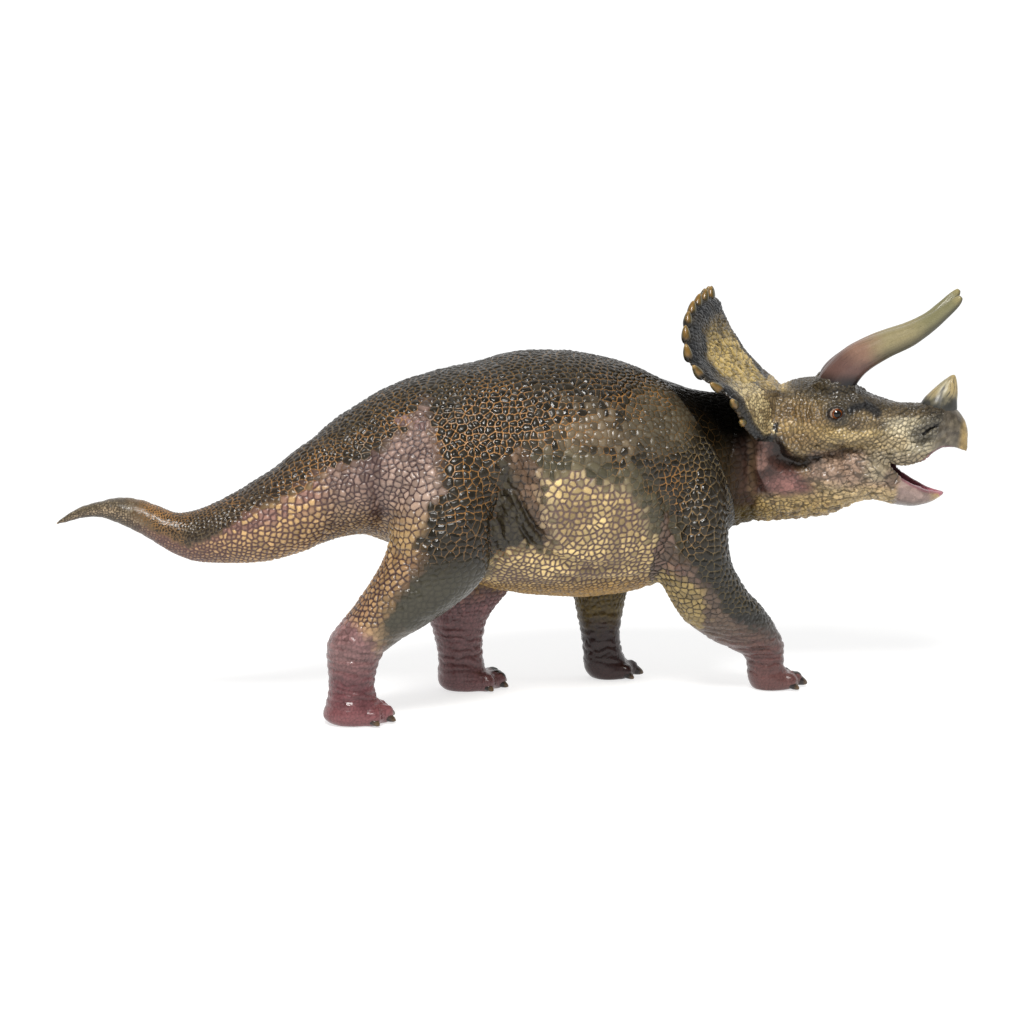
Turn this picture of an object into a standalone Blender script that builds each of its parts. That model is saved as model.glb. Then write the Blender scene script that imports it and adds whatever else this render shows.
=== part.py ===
"""Horned dinosaur toy figure (walking, head turned to its right, mouth open).

Hollow moulded figure: two body shells, a plugged-in tail, four legs pegged
into the body, a neck that swivels in a collar ring, a head with glued-in
horns and eyes, and a lower jaw hinged on a cross pin.

Units in the tables are millimetres; +X tail to head, +Y the animal's left,
+Z up, all four soles at Z = 0.
"""
import math

import bpy
import bmesh
from mathutils import Matrix, Vector

# ------------------------------------------------------------------ driving dimensions (mm)
MM = 0.001
SHIFT = Vector((-1.04, 6.495, 0.0))  # puts the origin under the middle of the figure

GAP = 0.3               # clearance between separate pieces
WALL = 2.4              # wall of the hollow body shells
TAIL_PLANE = -62.0      # where the tail plugs into the body
TAIL_PLUG = 7.0         # length of the tail's plug
PEG_R = 5.0             # pegs of the legs
PEG_LEN = 11.0

COLLAR_C = Vector((57.3, 0.0, 75.0))   # centre of the neck seam
COLLAR_TILT = 26.1                     # the seam leans back by this angle
RING_FRONT, RING_BACK = 1.5, 5.5       # collar ring, depth behind the seam
RING_KEY = 1.0                         # how far the ring sits in the wall
JOURNAL_R = 16.0                       # round journal of the neck
RETAINER_R = 19.5
RETAINER_T = 3.0
SCREW_R = 2.0

HEAD_O = Vector((72.0, -3.0, 0.0))     # head frame: origin and heading
HEAD_YAW = -26.0
JAW_X, JAW_Z = 27.0, 77.0              # jaw pin, in the head frame
JAW_ARC = 23.3                         # rear of the jaw, an arc about the pin
PIN_R = 1.25
PIN_HALF = 16.0
JAW_CLOSE, JAW_OPEN = 10.0, 3.0        # travel of the jaw from rest, degrees

EYE_R = 2.7
EYE_POS = (31.8, 13.3, 88.7)           # head frame, right eye mirrored

SEG = 28                               # points round a body ring

# body and neck: x, y, z of the ring centre, lean back, heading,
# half width, height above and below the centre, squareness
TRUNK = [
    (-62.0, 0.0, 68.4, 0.0, 0.0, 16.3, 16.4, 16.2, 2.0),
    (-50.0, 0.0, 72.0, 0.0, 0.0, 22.0, 20.8, 18.0, 2.0),
    (-37.0, 0.0, 73.0, 0.0, 0.0, 27.0, 26.2, 24.0, 2.05),
    (-24.0, 0.0, 72.0, 0.0, 0.0, 30.8, 30.9, 30.0, 2.1),
    (-11.0, 0.0, 70.0, 0.0, 0.0, 33.8, 35.2, 34.0, 2.1),
    (2.0, 0.0, 68.0, 0.0, 0.0, 35.6, 39.8, 35.0, 2.1),
    (15.0, 0.0, 67.5, 0.0, 0.0, 36.0, 40.4, 36.0, 2.1),
    (28.0, 0.0, 68.0, 3.0, 0.0, 34.6, 38.3, 36.6, 2.1),
    (40.0, 0.0, 69.5, 10.0, 0.0, 32.0, 35.2, 36.0, 2.05),
    (50.0, 0.0, 72.5, 19.0, 0.0, 28.6, 30.9, 33.0, 2.0),
    (57.3, 0.0, 75.0, 26.1, 0.0, 25.4, 26.8, 27.4, 2.0),
]
NECK = [
    (57.3, 0.0, 75.0, 26.1, 0.0, 25.4, 26.8, 27.4, 2.0),
    (64.6, -0.8, 75.2, 20.0, -8.0, 22.6, 20.8, 25.2, 2.0),
    (72.8, -3.2, 75.0, 12.0, -17.0, 20.2, 18.2, 22.8, 2.0),
    (81.5, -7.2, 74.4, 4.0, -24.0, 18.6, 18.0, 21.4, 2.0),
    (90.5, -11.6, 74.0, 0.0, -26.0, 17.0, 18.6, 20.0, 2.0),
    (98.5, -15.5, 73.6, 0.0, -26.0, 15.0, 18.0, 18.6, 2.0),
]
# tail: x, z of the centre, half width, half height
TAIL = [
    (-62.0, 68.4, 16.3, 16.3), (-68.3, 65.1, 15.0, 15.6), (-74.4, 61.8, 13.6, 14.1),
    (-80.4, 59.2, 12.0, 12.5), (-86.3, 57.4, 10.5, 11.0), (-92.3, 56.0, 9.1, 9.5),
    (-98.1, 54.9, 7.8, 8.0), (-103.9, 55.0, 6.5, 6.6), (-109.6, 57.6, 5.6, 5.9),
    (-115.2, 60.6, 4.8, 5.2), (-120.9, 62.5, 3.9, 4.0), (-126.5, 62.8, 3.0, 2.8),
    (-132.2, 61.5, 2.2, 2.1), (-137.9, 58.7, 1.1, 1.0),
]
TAIL_TIP = (-140.4, 57.4)
# legs: height, rear x, front x, centre y, half width
LEG_HIND_RIGHT = [
    (0.0, -64.6, -48.4, -20.0, 7.0), (2.0, -66.9, -46.8, -20.0, 8.4),
    (5.0, -66.2, -49.0, -20.0, 8.2), (9.0, -65.2, -51.0, -20.0, 7.3),
    (13.0, -65.0, -51.2, -20.0, 7.0), (18.0, -65.4, -50.0, -20.0, 7.4),
    (22.0, -65.6, -47.5, -20.0, 8.2), (26.0, -64.8, -41.5, -20.2, 9.4),
    (30.0, -61.2, -34.0, -20.6, 10.6), (35.0, -56.8, -26.5, -21.0, 12.2),
    (41.0, -52.6, -19.5, -21.5, 13.4), (48.0, -48.4, -15.5, -22.0, 14.2),
    (56.0, -46.0, -13.5, -22.0, 14.4), (65.0, -45.0, -13.0, -21.0, 14.2),
    (74.0, -42.0, -14.0, -19.0, 13.6), (83.0, -38.0, -17.0, -16.0, 12.4),
    (90.0, -34.0, -22.0, -13.0, 10.0),
]
LEG_HIND_LEFT = [
    (0.0, -18.6, -1.6, 15.5, 6.8), (2.0, -20.2, 0.2, 15.5, 8.2),
    (5.0, -20.5, -4.6, 15.5, 7.9), (9.0, -20.3, -5.9, 15.5, 7.1),
    (14.0, -20.9, -6.3, 15.6, 7.0), (18.0, -21.8, -5.8, 15.8, 7.5),
    (22.0, -22.6, -4.7, 16.2, 8.4), (27.0, -24.4, -1.2, 17.0, 9.8),
    (33.0, -27.0, 4.2, 18.2, 11.4), (40.0, -30.0, 7.6, 19.8, 13.0),
    (50.0, -33.0, 6.6, 21.4, 14.0), (62.0, -34.6, 2.6, 21.8, 14.2),
    (74.0, -34.6, -2.4, 19.6, 13.8), (83.0, -33.0, -7.6, 16.2, 12.4),
    (90.0, -30.0, -14.0, 13.0, 10.0),
]
LEG_FRONT_RIGHT = [
    (0.0, 75.0, 87.4, -13.5, 6.0), (2.0, 74.0, 89.6, -13.5, 7.0),
    (5.0, 73.2, 86.0, -13.6, 6.5), (8.0, 73.0, 84.6, -13.8, 6.2),
    (11.0, 71.4, 84.4, -14.2, 6.4), (14.0, 65.6, 84.2, -14.8, 7.0),
    (17.0, 59.8, 82.8, -15.6, 7.8), (20.0, 55.6, 80.8, -16.6, 8.6),
    (23.5, 50.6, 78.4, -17.6, 9.4), (28.0, 46.8, 74.2, -18.8, 10.2),
    (33.0, 43.8, 68.8, -19.8, 11.0), (38.0, 41.4, 65.2, -20.6, 11.8),
    (44.0, 39.0, 62.4, -21.2, 12.4), (52.0, 37.6, 61.4, -21.2, 12.8),
    (60.0, 37.6, 61.0, -20.4, 12.8), (68.0, 38.6, 60.4, -18.8, 12.4),
    (76.0, 41.0, 59.0, -16.0, 11.4), (83.0, 45.0, 55.0, -13.0, 9.0),
]
LEG_FRONT_LEFT = [
    (0.0, 31.8, 43.8, 17.5, 5.8), (2.0, 30.0, 45.6, 17.5, 6.8),
    (5.0, 29.1, 43.4, 17.5, 6.4), (9.0, 28.9, 41.6, 17.5, 6.0),
    (15.0, 28.2, 40.8, 17.7, 6.2), (22.0, 26.8, 42.2, 18.2, 7.0),
    (28.0, 26.2, 43.6, 18.9, 8.2), (35.0, 26.0, 46.6, 19.8, 9.8),
    (43.0, 27.0, 51.4, 20.8, 11.4), (52.0, 29.0, 56.0, 21.2, 12.6),
    (62.0, 33.0, 58.6, 20.4, 12.8), (70.0, 37.0, 58.6, 18.4, 12.2),
    (78.0, 42.0, 57.0, 15.4, 10.6), (84.0, 46.0, 54.0, 12.6, 8.4),
]
# leg pegs: x, z
PEGS = {
    "hind_leg_right": (-28.0, 66.0, -1), "hind_leg_left": (-16.0, 64.0, 1),
    "front_leg_right": (48.0, 60.0, -1), "front_leg_left": (45.0, 60.0, 1),
}

# head, in the head frame. Skull: x, top, bottom, widest height, half width, squareness
SKULL = [
    (8.3, 93.5, 61.8, 80.0, 17.6, 2.1), (14.0, 96.0, 63.0, 80.0, 18.8, 2.1),
    (19.0, 97.8, 66.4, 80.6, 19.2, 2.1), (24.0, 98.4, 71.6, 81.4, 18.8, 2.2),
    (30.0, 97.8, 74.2, 83.0, 17.2, 2.3), (36.0, 95.8, 75.8, 84.6, 15.2, 2.4),
    (41.0, 93.6, 76.2, 84.8, 13.6, 2.4), (46.0, 92.0, 74.4, 83.6, 12.4, 2.4),
    (51.0, 90.9, 70.2, 82.0, 11.2, 2.7), (56.0, 90.8, 70.2, 81.4, 10.0, 3.0),
    (61.0, 90.8, 72.4, 82.0, 8.6, 2.8), (65.0, 90.4, 76.0, 82.8, 6.8, 2.2),
    (68.9, 89.2, 76.8, 82.8, 4.8, 2.1), (71.5, 86.0, 75.6, 80.8, 2.6, 2.0),
    (72.6, 82.0, 76.0, 79.0, 1.0, 2.0),
]
# lower jaw: x, top, bottom, half width, squareness
JAW = [
    (3.0, 76.0, 55.6, 12.2, 2.3), (12.0, 76.6, 54.0, 12.8, 2.3),
    (20.0, 79.0, 54.1, 13.2, 2.3), (27.0, 80.6, 54.9, 13.3, 2.3),
    (32.0, 78.0, 56.6, 12.9, 2.4), (36.5, 77.4, 58.8, 12.3, 2.4),
    (41.0, 77.2, 60.3, 11.4, 2.4), (45.8, 76.0, 60.3, 10.4, 2.4),
    (50.0, 72.0, 59.2, 9.6, 2.3), (54.4, 68.8, 58.7, 8.6, 2.3),
    (58.0, 66.4, 58.8, 7.2, 2.2), (61.4, 64.6, 59.8, 5.4, 2.1),
    (64.0, 63.9, 61.2, 3.4, 2.0), (65.7, 63.6, 62.6, 1.2, 2.0),
]
# right brow horn: x, y, z, radius
BROW_HORN = [
    (30.1, -8.6, 93.8, 5.2), (31.7, -9.0, 97.8, 5.6), (35.1, -9.6, 102.6, 5.3),
    (39.8, -10.4, 106.5, 4.7), (46.4, -11.4, 109.9, 4.1), (54.3, -12.8, 113.4, 3.3),
    (60.3, -14.2, 117.4, 2.5), (64.7, -15.4, 121.0, 2.0), (67.7, -16.3, 123.8, 1.5),
    (69.0, -16.8, 125.2, 0.8),
]
# nose horn: height, centre x, half length, half width
NOSE_HORN = [
    (86.6, 63.2, 5.2, 3.8), (89.5, 63.2, 5.8, 4.2), (92.5, 63.9, 5.1, 3.6),
    (95.4, 65.4, 3.7, 2.7), (97.6, 66.5, 2.4, 1.9), (99.2, 67.4, 1.1, 1.0),
]
# frill: rim in (y, z) is an oval about FRILL_C; ridge line x over z
FRILL_C = (0.0, 97.0)
FRILL_R = (35.8, 26.9, 21.0)            # sideways, up, down
FRILL_FLOOR = 81.5
FRILL_T = 3.0
FRILL_RIDGE = [(78.0, 19.0), (90.0, 18.6), (95.0, 17.4), (97.9, 14.0), (100.9, 8.7),
               (106.3, 3.1), (112.5, -0.4), (118.6, -3.9), (122.6, -6.3), (127.0, -8.8)]
FRILL_SWEEP = 0.48
TONGUE = [(24.0, 66.6, 5.2), (36.0, 66.8, 5.6), (48.0, 65.4, 4.6), (55.0, 64.0, 3.0), (58.5, 63.4, 1.4)]

# ------------------------------------------------------------------ scene
for ob in list(bpy.data.objects):
    bpy.data.objects.remove(ob, do_unlink=True)
SCENE = bpy.context.scene.collection


def material(name, colour, rough, metal=0.0):
    m = bpy.data.materials.new(name)
    m.use_nodes = True
    b = m.node_tree.nodes["Principled BSDF"]
    b.inputs["Base Color"].default_value = (*colour, 1.0)
    b.inputs["Roughness"].default_value = rough
    b.inputs["Metallic"].default_value = metal
    m.diffuse_color = (*colour, 1.0)
    return m


def put(name, bm, mat=None, origin=None, helper=False, smooth=True):
    """Object from a bmesh whose vertices are in millimetres, in the design frame."""
    o = SHIFT + (origin if origin is not None else Vector((0, 0, 0)))
    bmesh.ops.recalc_face_normals(bm, faces=bm.faces)
    for v in bm.verts:
        v.co = (v.co + SHIFT - o) * MM
    me = bpy.data.meshes.new(name)
    bm.to_mesh(me)
    bm.free()
    if smooth:
        me.shade_smooth()
        me.set_sharp_from_angle(angle=math.radians(38))
    ob = bpy.data.objects.new(name, me)
    ob.location = o * MM
    SCENE.objects.link(ob)
    if mat is not None:
        me.materials.append(mat)
    if helper:
        ob.hide_render = True
        ob.display_type = 'WIRE'
    return ob


def boolean(ob, other, how):
    m = ob.modifiers.new(how.lower(), 'BOOLEAN')
    m.operation = how
    m.solver = 'EXACT'
    m.object = other
    return ob


# ------------------------------------------------------------------ shape helpers
def catmull(rows, per):
    """Smooth curve through the rows of a table, per steps between two rows."""
    out = []
    n = len(rows)
    for i in range(n - 1):
        p0, p1, p2, p3 = rows[max(i - 1, 0)], rows[i], rows[i + 1], rows[min(i + 2, n - 1)]
        for k in range(per):
            t = k / per
            out.append(tuple(
                0.5 * (2 * b + (c - a) * t + (2 * a - 5 * b + 4 * c - d) * t * t
                       + (3 * b - a - 3 * c + d) * t ** 3)
                for a, b, c, d in zip(p0, p1, p2, p3)))
    out.append(tuple(rows[-1]))
    return out


def table(pairs, x):
    if x <= pairs[0][0]:
        return pairs[0][1]
    for (x0, y0), (x1, y1) in zip(pairs, pairs[1:]):
        if x <= x1:
            return y0 + (y1 - y0) * (x - x0) / (x1 - x0)
    return pairs[-1][1]


def oval(c, side, up, rs, ru, rd, e=2.0, n=SEG, turn=0.0):
    pts = []
    for k in range(n):
        a = 2 * math.pi * (k + turn) / n
        ca, sa = math.cos(a), math.sin(a)
        u = math.copysign(abs(ca) ** (2 / e), ca)
        w = math.copysign(abs(sa) ** (2 / e), sa)
        pts.append(c + side * (rs * u) + up * ((ru if w > 0 else rd) * w))
    return pts


def lofted(rings):
    bm = bmesh.new()
    rows = [[bm.verts.new(p) for p in r] for r in rings]
    n = len(rings[0])
    for a, b in zip(rows, rows[1:]):
        for i in range(n):
            j = (i + 1) % n
            bm.faces.new((a[i], a[j], b[j], b[i]))
    bm.faces.new(list(reversed(rows[0])))
    bm.faces.new(rows[-1])
    return bm


def rod(a, b, ra, rb=None, n=20):
    """Round bar or cone between two points."""
    rb = ra if rb is None else rb
    z = (b - a).normalized()
    x = z.orthogonal().normalized()
    y = z.cross(x)
    rings = []
    for p, r in ((a, ra), (b, rb)):
        rings.append([p + (x * math.cos(2 * math.pi * k / n) + y * math.sin(2 * math.pi * k / n)) * r
                      for k in range(n)])
    return lofted(rings)


def block(lo, hi, frame=None):
    bm = bmesh.new()
    bmesh.ops.create_cube(bm, size=1.0)
    for v in bm.verts:
        p = Vector(((lo[i] + hi[i]) / 2 + v.co[i] * (hi[i] - lo[i]) for i in range(3)))
        v.co = frame @ p if frame is not None else p
    return bm


def trunk_ring(row, inset=0.0, push=0.0, n=SEG):
    x, y, z, lean, head, rs, ru, rd, e = row
    a, h = math.radians(lean), math.radians(head)
    nrm = Vector((math.cos(h) * math.cos(a), math.sin(h) * math.cos(a), math.sin(a)))
    up = Vector((-math.cos(h) * math.sin(a), -math.sin(h) * math.sin(a), math.cos(a)))
    side = Vector((-math.sin(h), math.cos(h), 0))
    return oval(Vector((x, y, z)) + nrm * push, side, up, rs - inset, ru - inset, rd - inset, e, n)


HEAD = Matrix.Translation(HEAD_O) @ Matrix.Rotation(math.radians(HEAD_YAW), 4, 'Z')


def hp(x, y, z):
    return HEAD @ Vector((x, y, z))


def head_ring(x, top, bottom, mid, half, e, grow=0.0, n=24):
    side = hp(0, 1, 0) - hp(0, 0, 0)
    return oval(hp(x, 0, mid), side, Vector((0, 0, 1)), half + grow, top - mid + grow,
                mid - bottom + grow, e, n)


COLLAR_N = Vector((math.cos(math.radians(COLLAR_TILT)), 0, math.sin(math.radians(COLLAR_TILT))))


def on_axis(s):
    """Point on the neck axis, s in front of the seam."""
    return COLLAR_C + COLLAR_N * s


# ------------------------------------------------------------------ materials
SKIN_DARK = material("skin_dark", (0.05, 0.04, 0.03), 0.42)
SKIN_TAIL = material("skin_tail", (0.16, 0.10, 0.05), 0.45)
SKIN_LEG = material("skin_leg", (0.18, 0.08, 0.06), 0.45)
SKIN_HEAD = material("skin_head", (0.17, 0.13, 0.08), 0.42)
SKIN_JAW = material("skin_jaw", (0.24, 0.17, 0.12), 0.42)
HORN = material("horn", (0.33, 0.25, 0.14), 0.38)
EYE = material("eye", (0.45, 0.10, 0.02), 0.08)
MOUTH = material("mouth_pink", (0.40, 0.13, 0.14), 0.35)
INNER = material("inner_plastic", (0.60, 0.58, 0.54), 0.5)
STEEL = material("steel", (0.62, 0.62, 0.62), 0.3, 1.0)

# ------------------------------------------------------------------ body shells
trunk_rows = catmull(TRUNK, 2)
outer_rings = [trunk_ring(r) for r in trunk_rows]
inner_rows = catmull(TRUNK, 1)
inner_rings = [trunk_ring(inner_rows[0], WALL, -3.0)] + [trunk_ring(r, WALL) for r in inner_rows] \
    + [trunk_ring(inner_rows[-1], WALL, 3.0)]
hollow = put("hollow_guide", lofted(inner_rings), helper=True)

seam = TRUNK[-1]
ring_seat = put("ring_seat_guide", lofted([
    trunk_ring(seam, WALL - RING_KEY - GAP, -RING_BACK - GAP),
    trunk_ring(seam, WALL - RING_KEY - GAP, -RING_FRONT + GAP)]), helper=True)

BOSSES = [(-34.0, 1), (14.0, 1), (8.0, -1), (-30.0, -1)]


def boss_centre(x, sign):
    rows = sorted(trunk_rows)
    top = table([(r[0], r[2] + r[6]) for r in rows], x)
    low = table([(r[0], r[2] - r[7]) for r in rows], x)
    return Vector((x, 0, top - WALL - 1.4)) if sign > 0 else Vector((x, 0, low + WALL + 1.4))


for side_name, s in (("torso_right", -1), ("torso_left", 1)):
    shell = put(side_name, lofted(outer_rings), SKIN_DARK)
    boolean(shell, hollow, 'DIFFERENCE')
    boolean(shell, ring_seat, 'DIFFERENCE')
    for k, (bx, up_sign) in enumerate(BOSSES):
        c = boss_centre(bx, up_sign)
        boss = put(f"boss_guide_{side_name}_{k}",
                   rod(c + Vector((0, -s * 0.8, 0)), c + Vector((0, s * 5.0, 0)), 3.0, n=12), helper=True)
        boolean(shell, boss, 'UNION')
    lo, hi = (-80, -60, 20), (90, -GAP / 2, 130)
    if s > 0:
        lo, hi = (-80, GAP / 2, 20), (90, 60, 130)
    half = put(f"half_guide_{side_name}", block(lo, hi), helper=True)
    boolean(shell, half, 'INTERSECT')
    for k, (bx, up_sign) in enumerate(BOSSES):
        c = boss_centre(bx, up_sign)
        if s > 0:
            pin = put(f"locating_pin_guide_{k}",
                      rod(c + Vector((0, 2.0, 0)), c + Vector((0, -3.2, 0)), 1.3, 1.1, n=12), helper=True)
            boolean(shell, pin, 'UNION')
        else:
            hole = put(f"locating_hole_guide_{k}",
                       rod(c + Vector((0, 1.0, 0)), c + Vector((0, -3.8, 0)), 1.3 + GAP, n=12), helper=True)
            boolean(shell, hole, 'DIFFERENCE')
    for leg, (px, pz, ps) in PEGS.items():
        if ps == s:
            hole = put(f"peg_hole_guide_{leg}",
                       rod(Vector((px, s * 15, pz)), Vector((px, s * 45, pz)), PEG_R + GAP, n=16), helper=True)
            boolean(shell, hole, 'DIFFERENCE')

# ------------------------------------------------------------------ collar ring
ring = put("collar_ring", lofted([
    trunk_ring(seam, WALL - RING_KEY, -RING_BACK), trunk_ring(seam, WALL - RING_KEY, -RING_FRONT)]), INNER)
bore = put("bore_guide", rod(on_axis(-12), on_axis(4), JOURNAL_R + GAP, n=32), helper=True)
boolean(ring, bore, 'DIFFERENCE')

# ------------------------------------------------------------------ tail


def tail_y(x):
    t = max(0.0, (-x - 50.0) / 90.0)
    return 22.0 * t * t


def tail_ring(row, inset=0.0, n=20, push=0.0):
    x, z, rs, rz = row
    slope = -2 * 22.0 * max(0.0, -x - 50.0) / 8100.0
    h = math.atan(slope)
    side = Vector((-math.sin(h), math.cos(h), 0))
    fwd = Vector((math.cos(h), math.sin(h), 0))
    y = tail_y(x) - tail_y(-62.0) * max(0.0, 1 - (-62.0 - x) / 20.0)
    return oval(Vector((x, y, z)) + fwd * push, side, Vector((0, 0, 1)), rs - inset, rz - inset, rz - inset, 2.0, n)


tail_rows = catmull(TAIL, 1)
tail_rings = [[p + Vector((-GAP, 0, 0)) for p in trunk_ring(TRUNK[0], n=20)]]
tail_rings += [tail_ring(r) for r in tail_rows[1:]]
tip = Vector((TAIL_TIP[0], tail_y(TAIL_TIP[0]), TAIL_TIP[1]))
tail_rings.append([tip + (p - tip) * 0.25 for p in tail_rings[-1]])
tail = put("tail", lofted(tail_rings), SKIN_TAIL)
plug_rows = [r for r in catmull(TRUNK, 4) if r[0] < TAIL_PLANE + TAIL_PLUG]
plug = put("tail_plug_guide", lofted(
    [[p + Vector((-3.0, 0, 0)) for p in trunk_ring(TRUNK[0], WALL + GAP, n=20)]]
    + [trunk_ring(r, WALL + GAP, n=20) for r in (plug_rows[0], plug_rows[-1])]), helper=True)
boolean(tail, plug, 'UNION')
core = put("tail_core_guide", lofted(
    [trunk_ring(plug_rows[-1], WALL * 2 + GAP, 3.0, n=16), trunk_ring(TRUNK[0], WALL * 2 + GAP, n=16)]
    + [tail_ring(r, WALL, 16) for r in TAIL[2:8:2]]), helper=True)
boolean(tail, core, 'DIFFERENCE')

# ------------------------------------------------------------------ legs
body_guide = put("body_clearance_guide", lofted(
    [trunk_ring(trunk_rows[0], -GAP, -4.0)] + [trunk_ring(r, -GAP) for r in trunk_rows]
    + [trunk_ring(trunk_rows[-1], -GAP - 0.2, 1.5)]), helper=True)


# nothing of the shoulders reaches past the neck seam at the top
ahead_guide = put("ahead_of_seam_guide", block((-0.8, -60, -8), (60, 60, 90), Matrix.Translation(COLLAR_C)
                                               @ Matrix.Rotation(math.radians(-COLLAR_TILT), 4, 'Y')), helper=True)


def leg_ring(row, grow=0.0, n=16):
    z, xr, xf, yc, ry = row
    return oval(Vector(((xr + xf) / 2, yc, z)), Vector((0, 1, 0)), Vector((1, 0, 0)),
                ry + grow, (xf - xr) / 2 + grow, (xf - xr) / 2 + grow, 2.15, n)


for leg, rows in (("hind_leg_right", LEG_HIND_RIGHT), ("hind_leg_left", LEG_HIND_LEFT),
                  ("front_leg_right", LEG_FRONT_RIGHT), ("front_leg_left", LEG_FRONT_LEFT)):
    ob = put(leg, lofted([leg_ring(r) for r in rows]), SKIN_LEG)
    boolean(ob, body_guide, 'DIFFERENCE')
    boolean(ob, ahead_guide, 'DIFFERENCE')
    px, pz, s = PEGS[leg]
    y_out = {"hind_leg_right": -32.5, "hind_leg_left": 34.0, "front_leg_right": -31.5,
             "front_leg_left": 31.5}[leg]
    peg = put(f"peg_guide_{leg}", rod(Vector((px, y_out, pz)), Vector((px, y_out - s * PEG_LEN, pz)),
                                     PEG_R, n=16), helper=True)
    boolean(ob, peg, 'UNION')

# ------------------------------------------------------------------ neck
neck_rows = catmull(NECK, 1)
neck_rings = [trunk_ring(neck_rows[0], 0.0, GAP + 0.1, n=24)] + [trunk_ring(r, n=24) for r in neck_rows[1:]]
neck = put("neck", lofted(neck_rings), SKIN_DARK, origin=COLLAR_C)
jaw_bay = put("jaw_bay_guide", rod(hp(JAW_X, -30, JAW_Z), hp(JAW_X, 30, JAW_Z), JAW_ARC + 0.5, n=48), helper=True)
bay_front = put("jaw_bay_front_guide", block((8.0, -40, 40), (60, 40, 110), HEAD), helper=True)
boolean(jaw_bay, bay_front, 'INTERSECT')
boolean(neck, jaw_bay, 'DIFFERENCE')
head_bay = put("head_bay_guide", block((8.0, -40, 61.5), (60, 40, 130), HEAD), helper=True)
boolean(neck, head_bay, 'DIFFERENCE')
journal = put("journal_guide", rod(on_axis(4), on_axis(-RING_BACK - 0.6), JOURNAL_R, n=32), helper=True)
boolean(neck, journal, 'UNION')
neck_bore = put("screw_bore_guide", rod(on_axis(-14), on_axis(9), SCREW_R + GAP, n=12), helper=True)
boolean(neck, neck_bore, 'DIFFERENCE')
spigot = put("head_spigot_guide", rod(hp(2, 0, 85.5), hp(15, 0, 85.5), 6.0, n=16), helper=True)
boolean(neck, spigot, 'UNION')

s0 = -RING_BACK - 0.6 - GAP
retainer = put("neck_retainer", rod(on_axis(s0), on_axis(s0 - RETAINER_T), RETAINER_R, n=28), INNER, origin=COLLAR_C)
boolean(retainer, neck_bore, 'DIFFERENCE')
screw_head = s0 - RETAINER_T - GAP
neck_screw = put("neck_screw", rod(on_axis(screw_head), on_axis(screw_head - 2.2), 4.0, 3.2, n=12), STEEL, origin=COLLAR_C)
shank = put("shank_guide", rod(on_axis(screw_head - 1.0), on_axis(7.0), SCREW_R, n=12), helper=True)
boolean(neck_screw, shank, 'UNION')
driver = put("driver_guide", block((-3.0, -0.45, -0.45), (3.0, 0.45, 0.45),
             Matrix.Translation(on_axis(screw_head - 2.2)) @ Matrix.Rotation(math.radians(90 - COLLAR_TILT), 4, 'Y')),
             helper=True)
boolean(neck_screw, driver, 'DIFFERENCE')

# ------------------------------------------------------------------ skull and frill
skull_rows = catmull(SKULL, 1)
skull = put("skull", lofted([head_ring(*r) for r in skull_rows]), SKIN_HEAD, origin=hp(0, 0, 80))


def frill_x(y, z):
    """Front face of the frill: a ridge line swept back to both sides."""
    return table(FRILL_RIDGE, z) - FRILL_SWEEP * (math.hypot(y, 4.0) - 4.0)


def frill_mesh(spokes=36):
    cy, cz = FRILL_C
    bm = bmesh.new()
    layers = []
    for back in (0, 1):
        rows = []
        for f in (0.34, 0.6, 0.82, 1.0):
            row = []
            for k in range(spokes):
                a = 2 * math.pi * k / spokes
                ca, sa = math.cos(a), math.sin(a)
                ru = FRILL_R[1] if sa > 0 else FRILL_R[2]
                y, z = cy + FRILL_R[0] * ca, cz + ru * sa
                z = max(z, FRILL_FLOOR)
                y, z = cy + (y - cy) * f, 92.0 + (z - 92.0) * f
                t = FRILL_T * (1.0 - 0.25 * f)
                edge = 0.5 if f == 1.0 else 0.0
                x = frill_x(y, z) - (t - edge if back else edge)
                row.append(bm.verts.new(hp(x, y, z)))
            rows.append(row)
        layers.append(rows)
    for rows in layers:
        for a, b in zip(rows, rows[1:]):
            for i in range(spokes):
                j = (i + 1) % spokes
                bm.faces.new((a[i], a[j], b[j], b[i]))
        c = Vector((0, 0, 0))
        for v in rows[0]:
            c += v.co
        mid = bm.verts.new(c / spokes)
        for i in range(spokes):
            bm.faces.new((mid, rows[0][(i + 1) % spokes], rows[0][i]))
    for i in range(spokes):
        j = (i + 1) % spokes
        bm.faces.new((layers[0][-1][i], layers[0][-1][j], layers[1][-1][j], layers[1][-1][i]))
    return bm


frill = put("frill_guide", frill_mesh(), helper=True)
boolean(skull, frill, 'UNION')

# slot that the lower jaw closes into
slot_rows = []
for x, top, bottom, half, e in JAW:
    lift = max(0.0, x - JAW_X) * math.sin(math.radians(JAW_CLOSE)) \
        + max(0.0, JAW_X - x) * math.sin(math.radians(JAW_OPEN)) + 1.1
    slot_rows.append((x, top + lift, 50.0, half + (0.9 if x > 45.0 else 0.6), 2.6))
slot_rows[0] = (5.0,) + slot_rows[0][1:]
slot_rows = slot_rows[:10] + [(57.5, 79.0, 50.0, 8.2, 2.5), (61.0, 79.5, 50.0, 6.6, 2.4),
                              (64.5, 79.0, 50.0, 4.8, 2.2), (68.0, 78.6, 50.0, 2.6, 2.0)]
slot = put("jaw_slot_guide", lofted(
    [head_ring(x, top, bottom, top - 8.0, half, e, n=20) for x, top, bottom, half, e in slot_rows]), helper=True)
boolean(skull, slot, 'DIFFERENCE')
spigot_hole = put("spigot_hole_guide", rod(hp(4, 0, 85.5), hp(15.6, 0, 85.5), 6.0 + GAP, n=16), helper=True)
boolean(skull, spigot_hole, 'DIFFERENCE')
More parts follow.
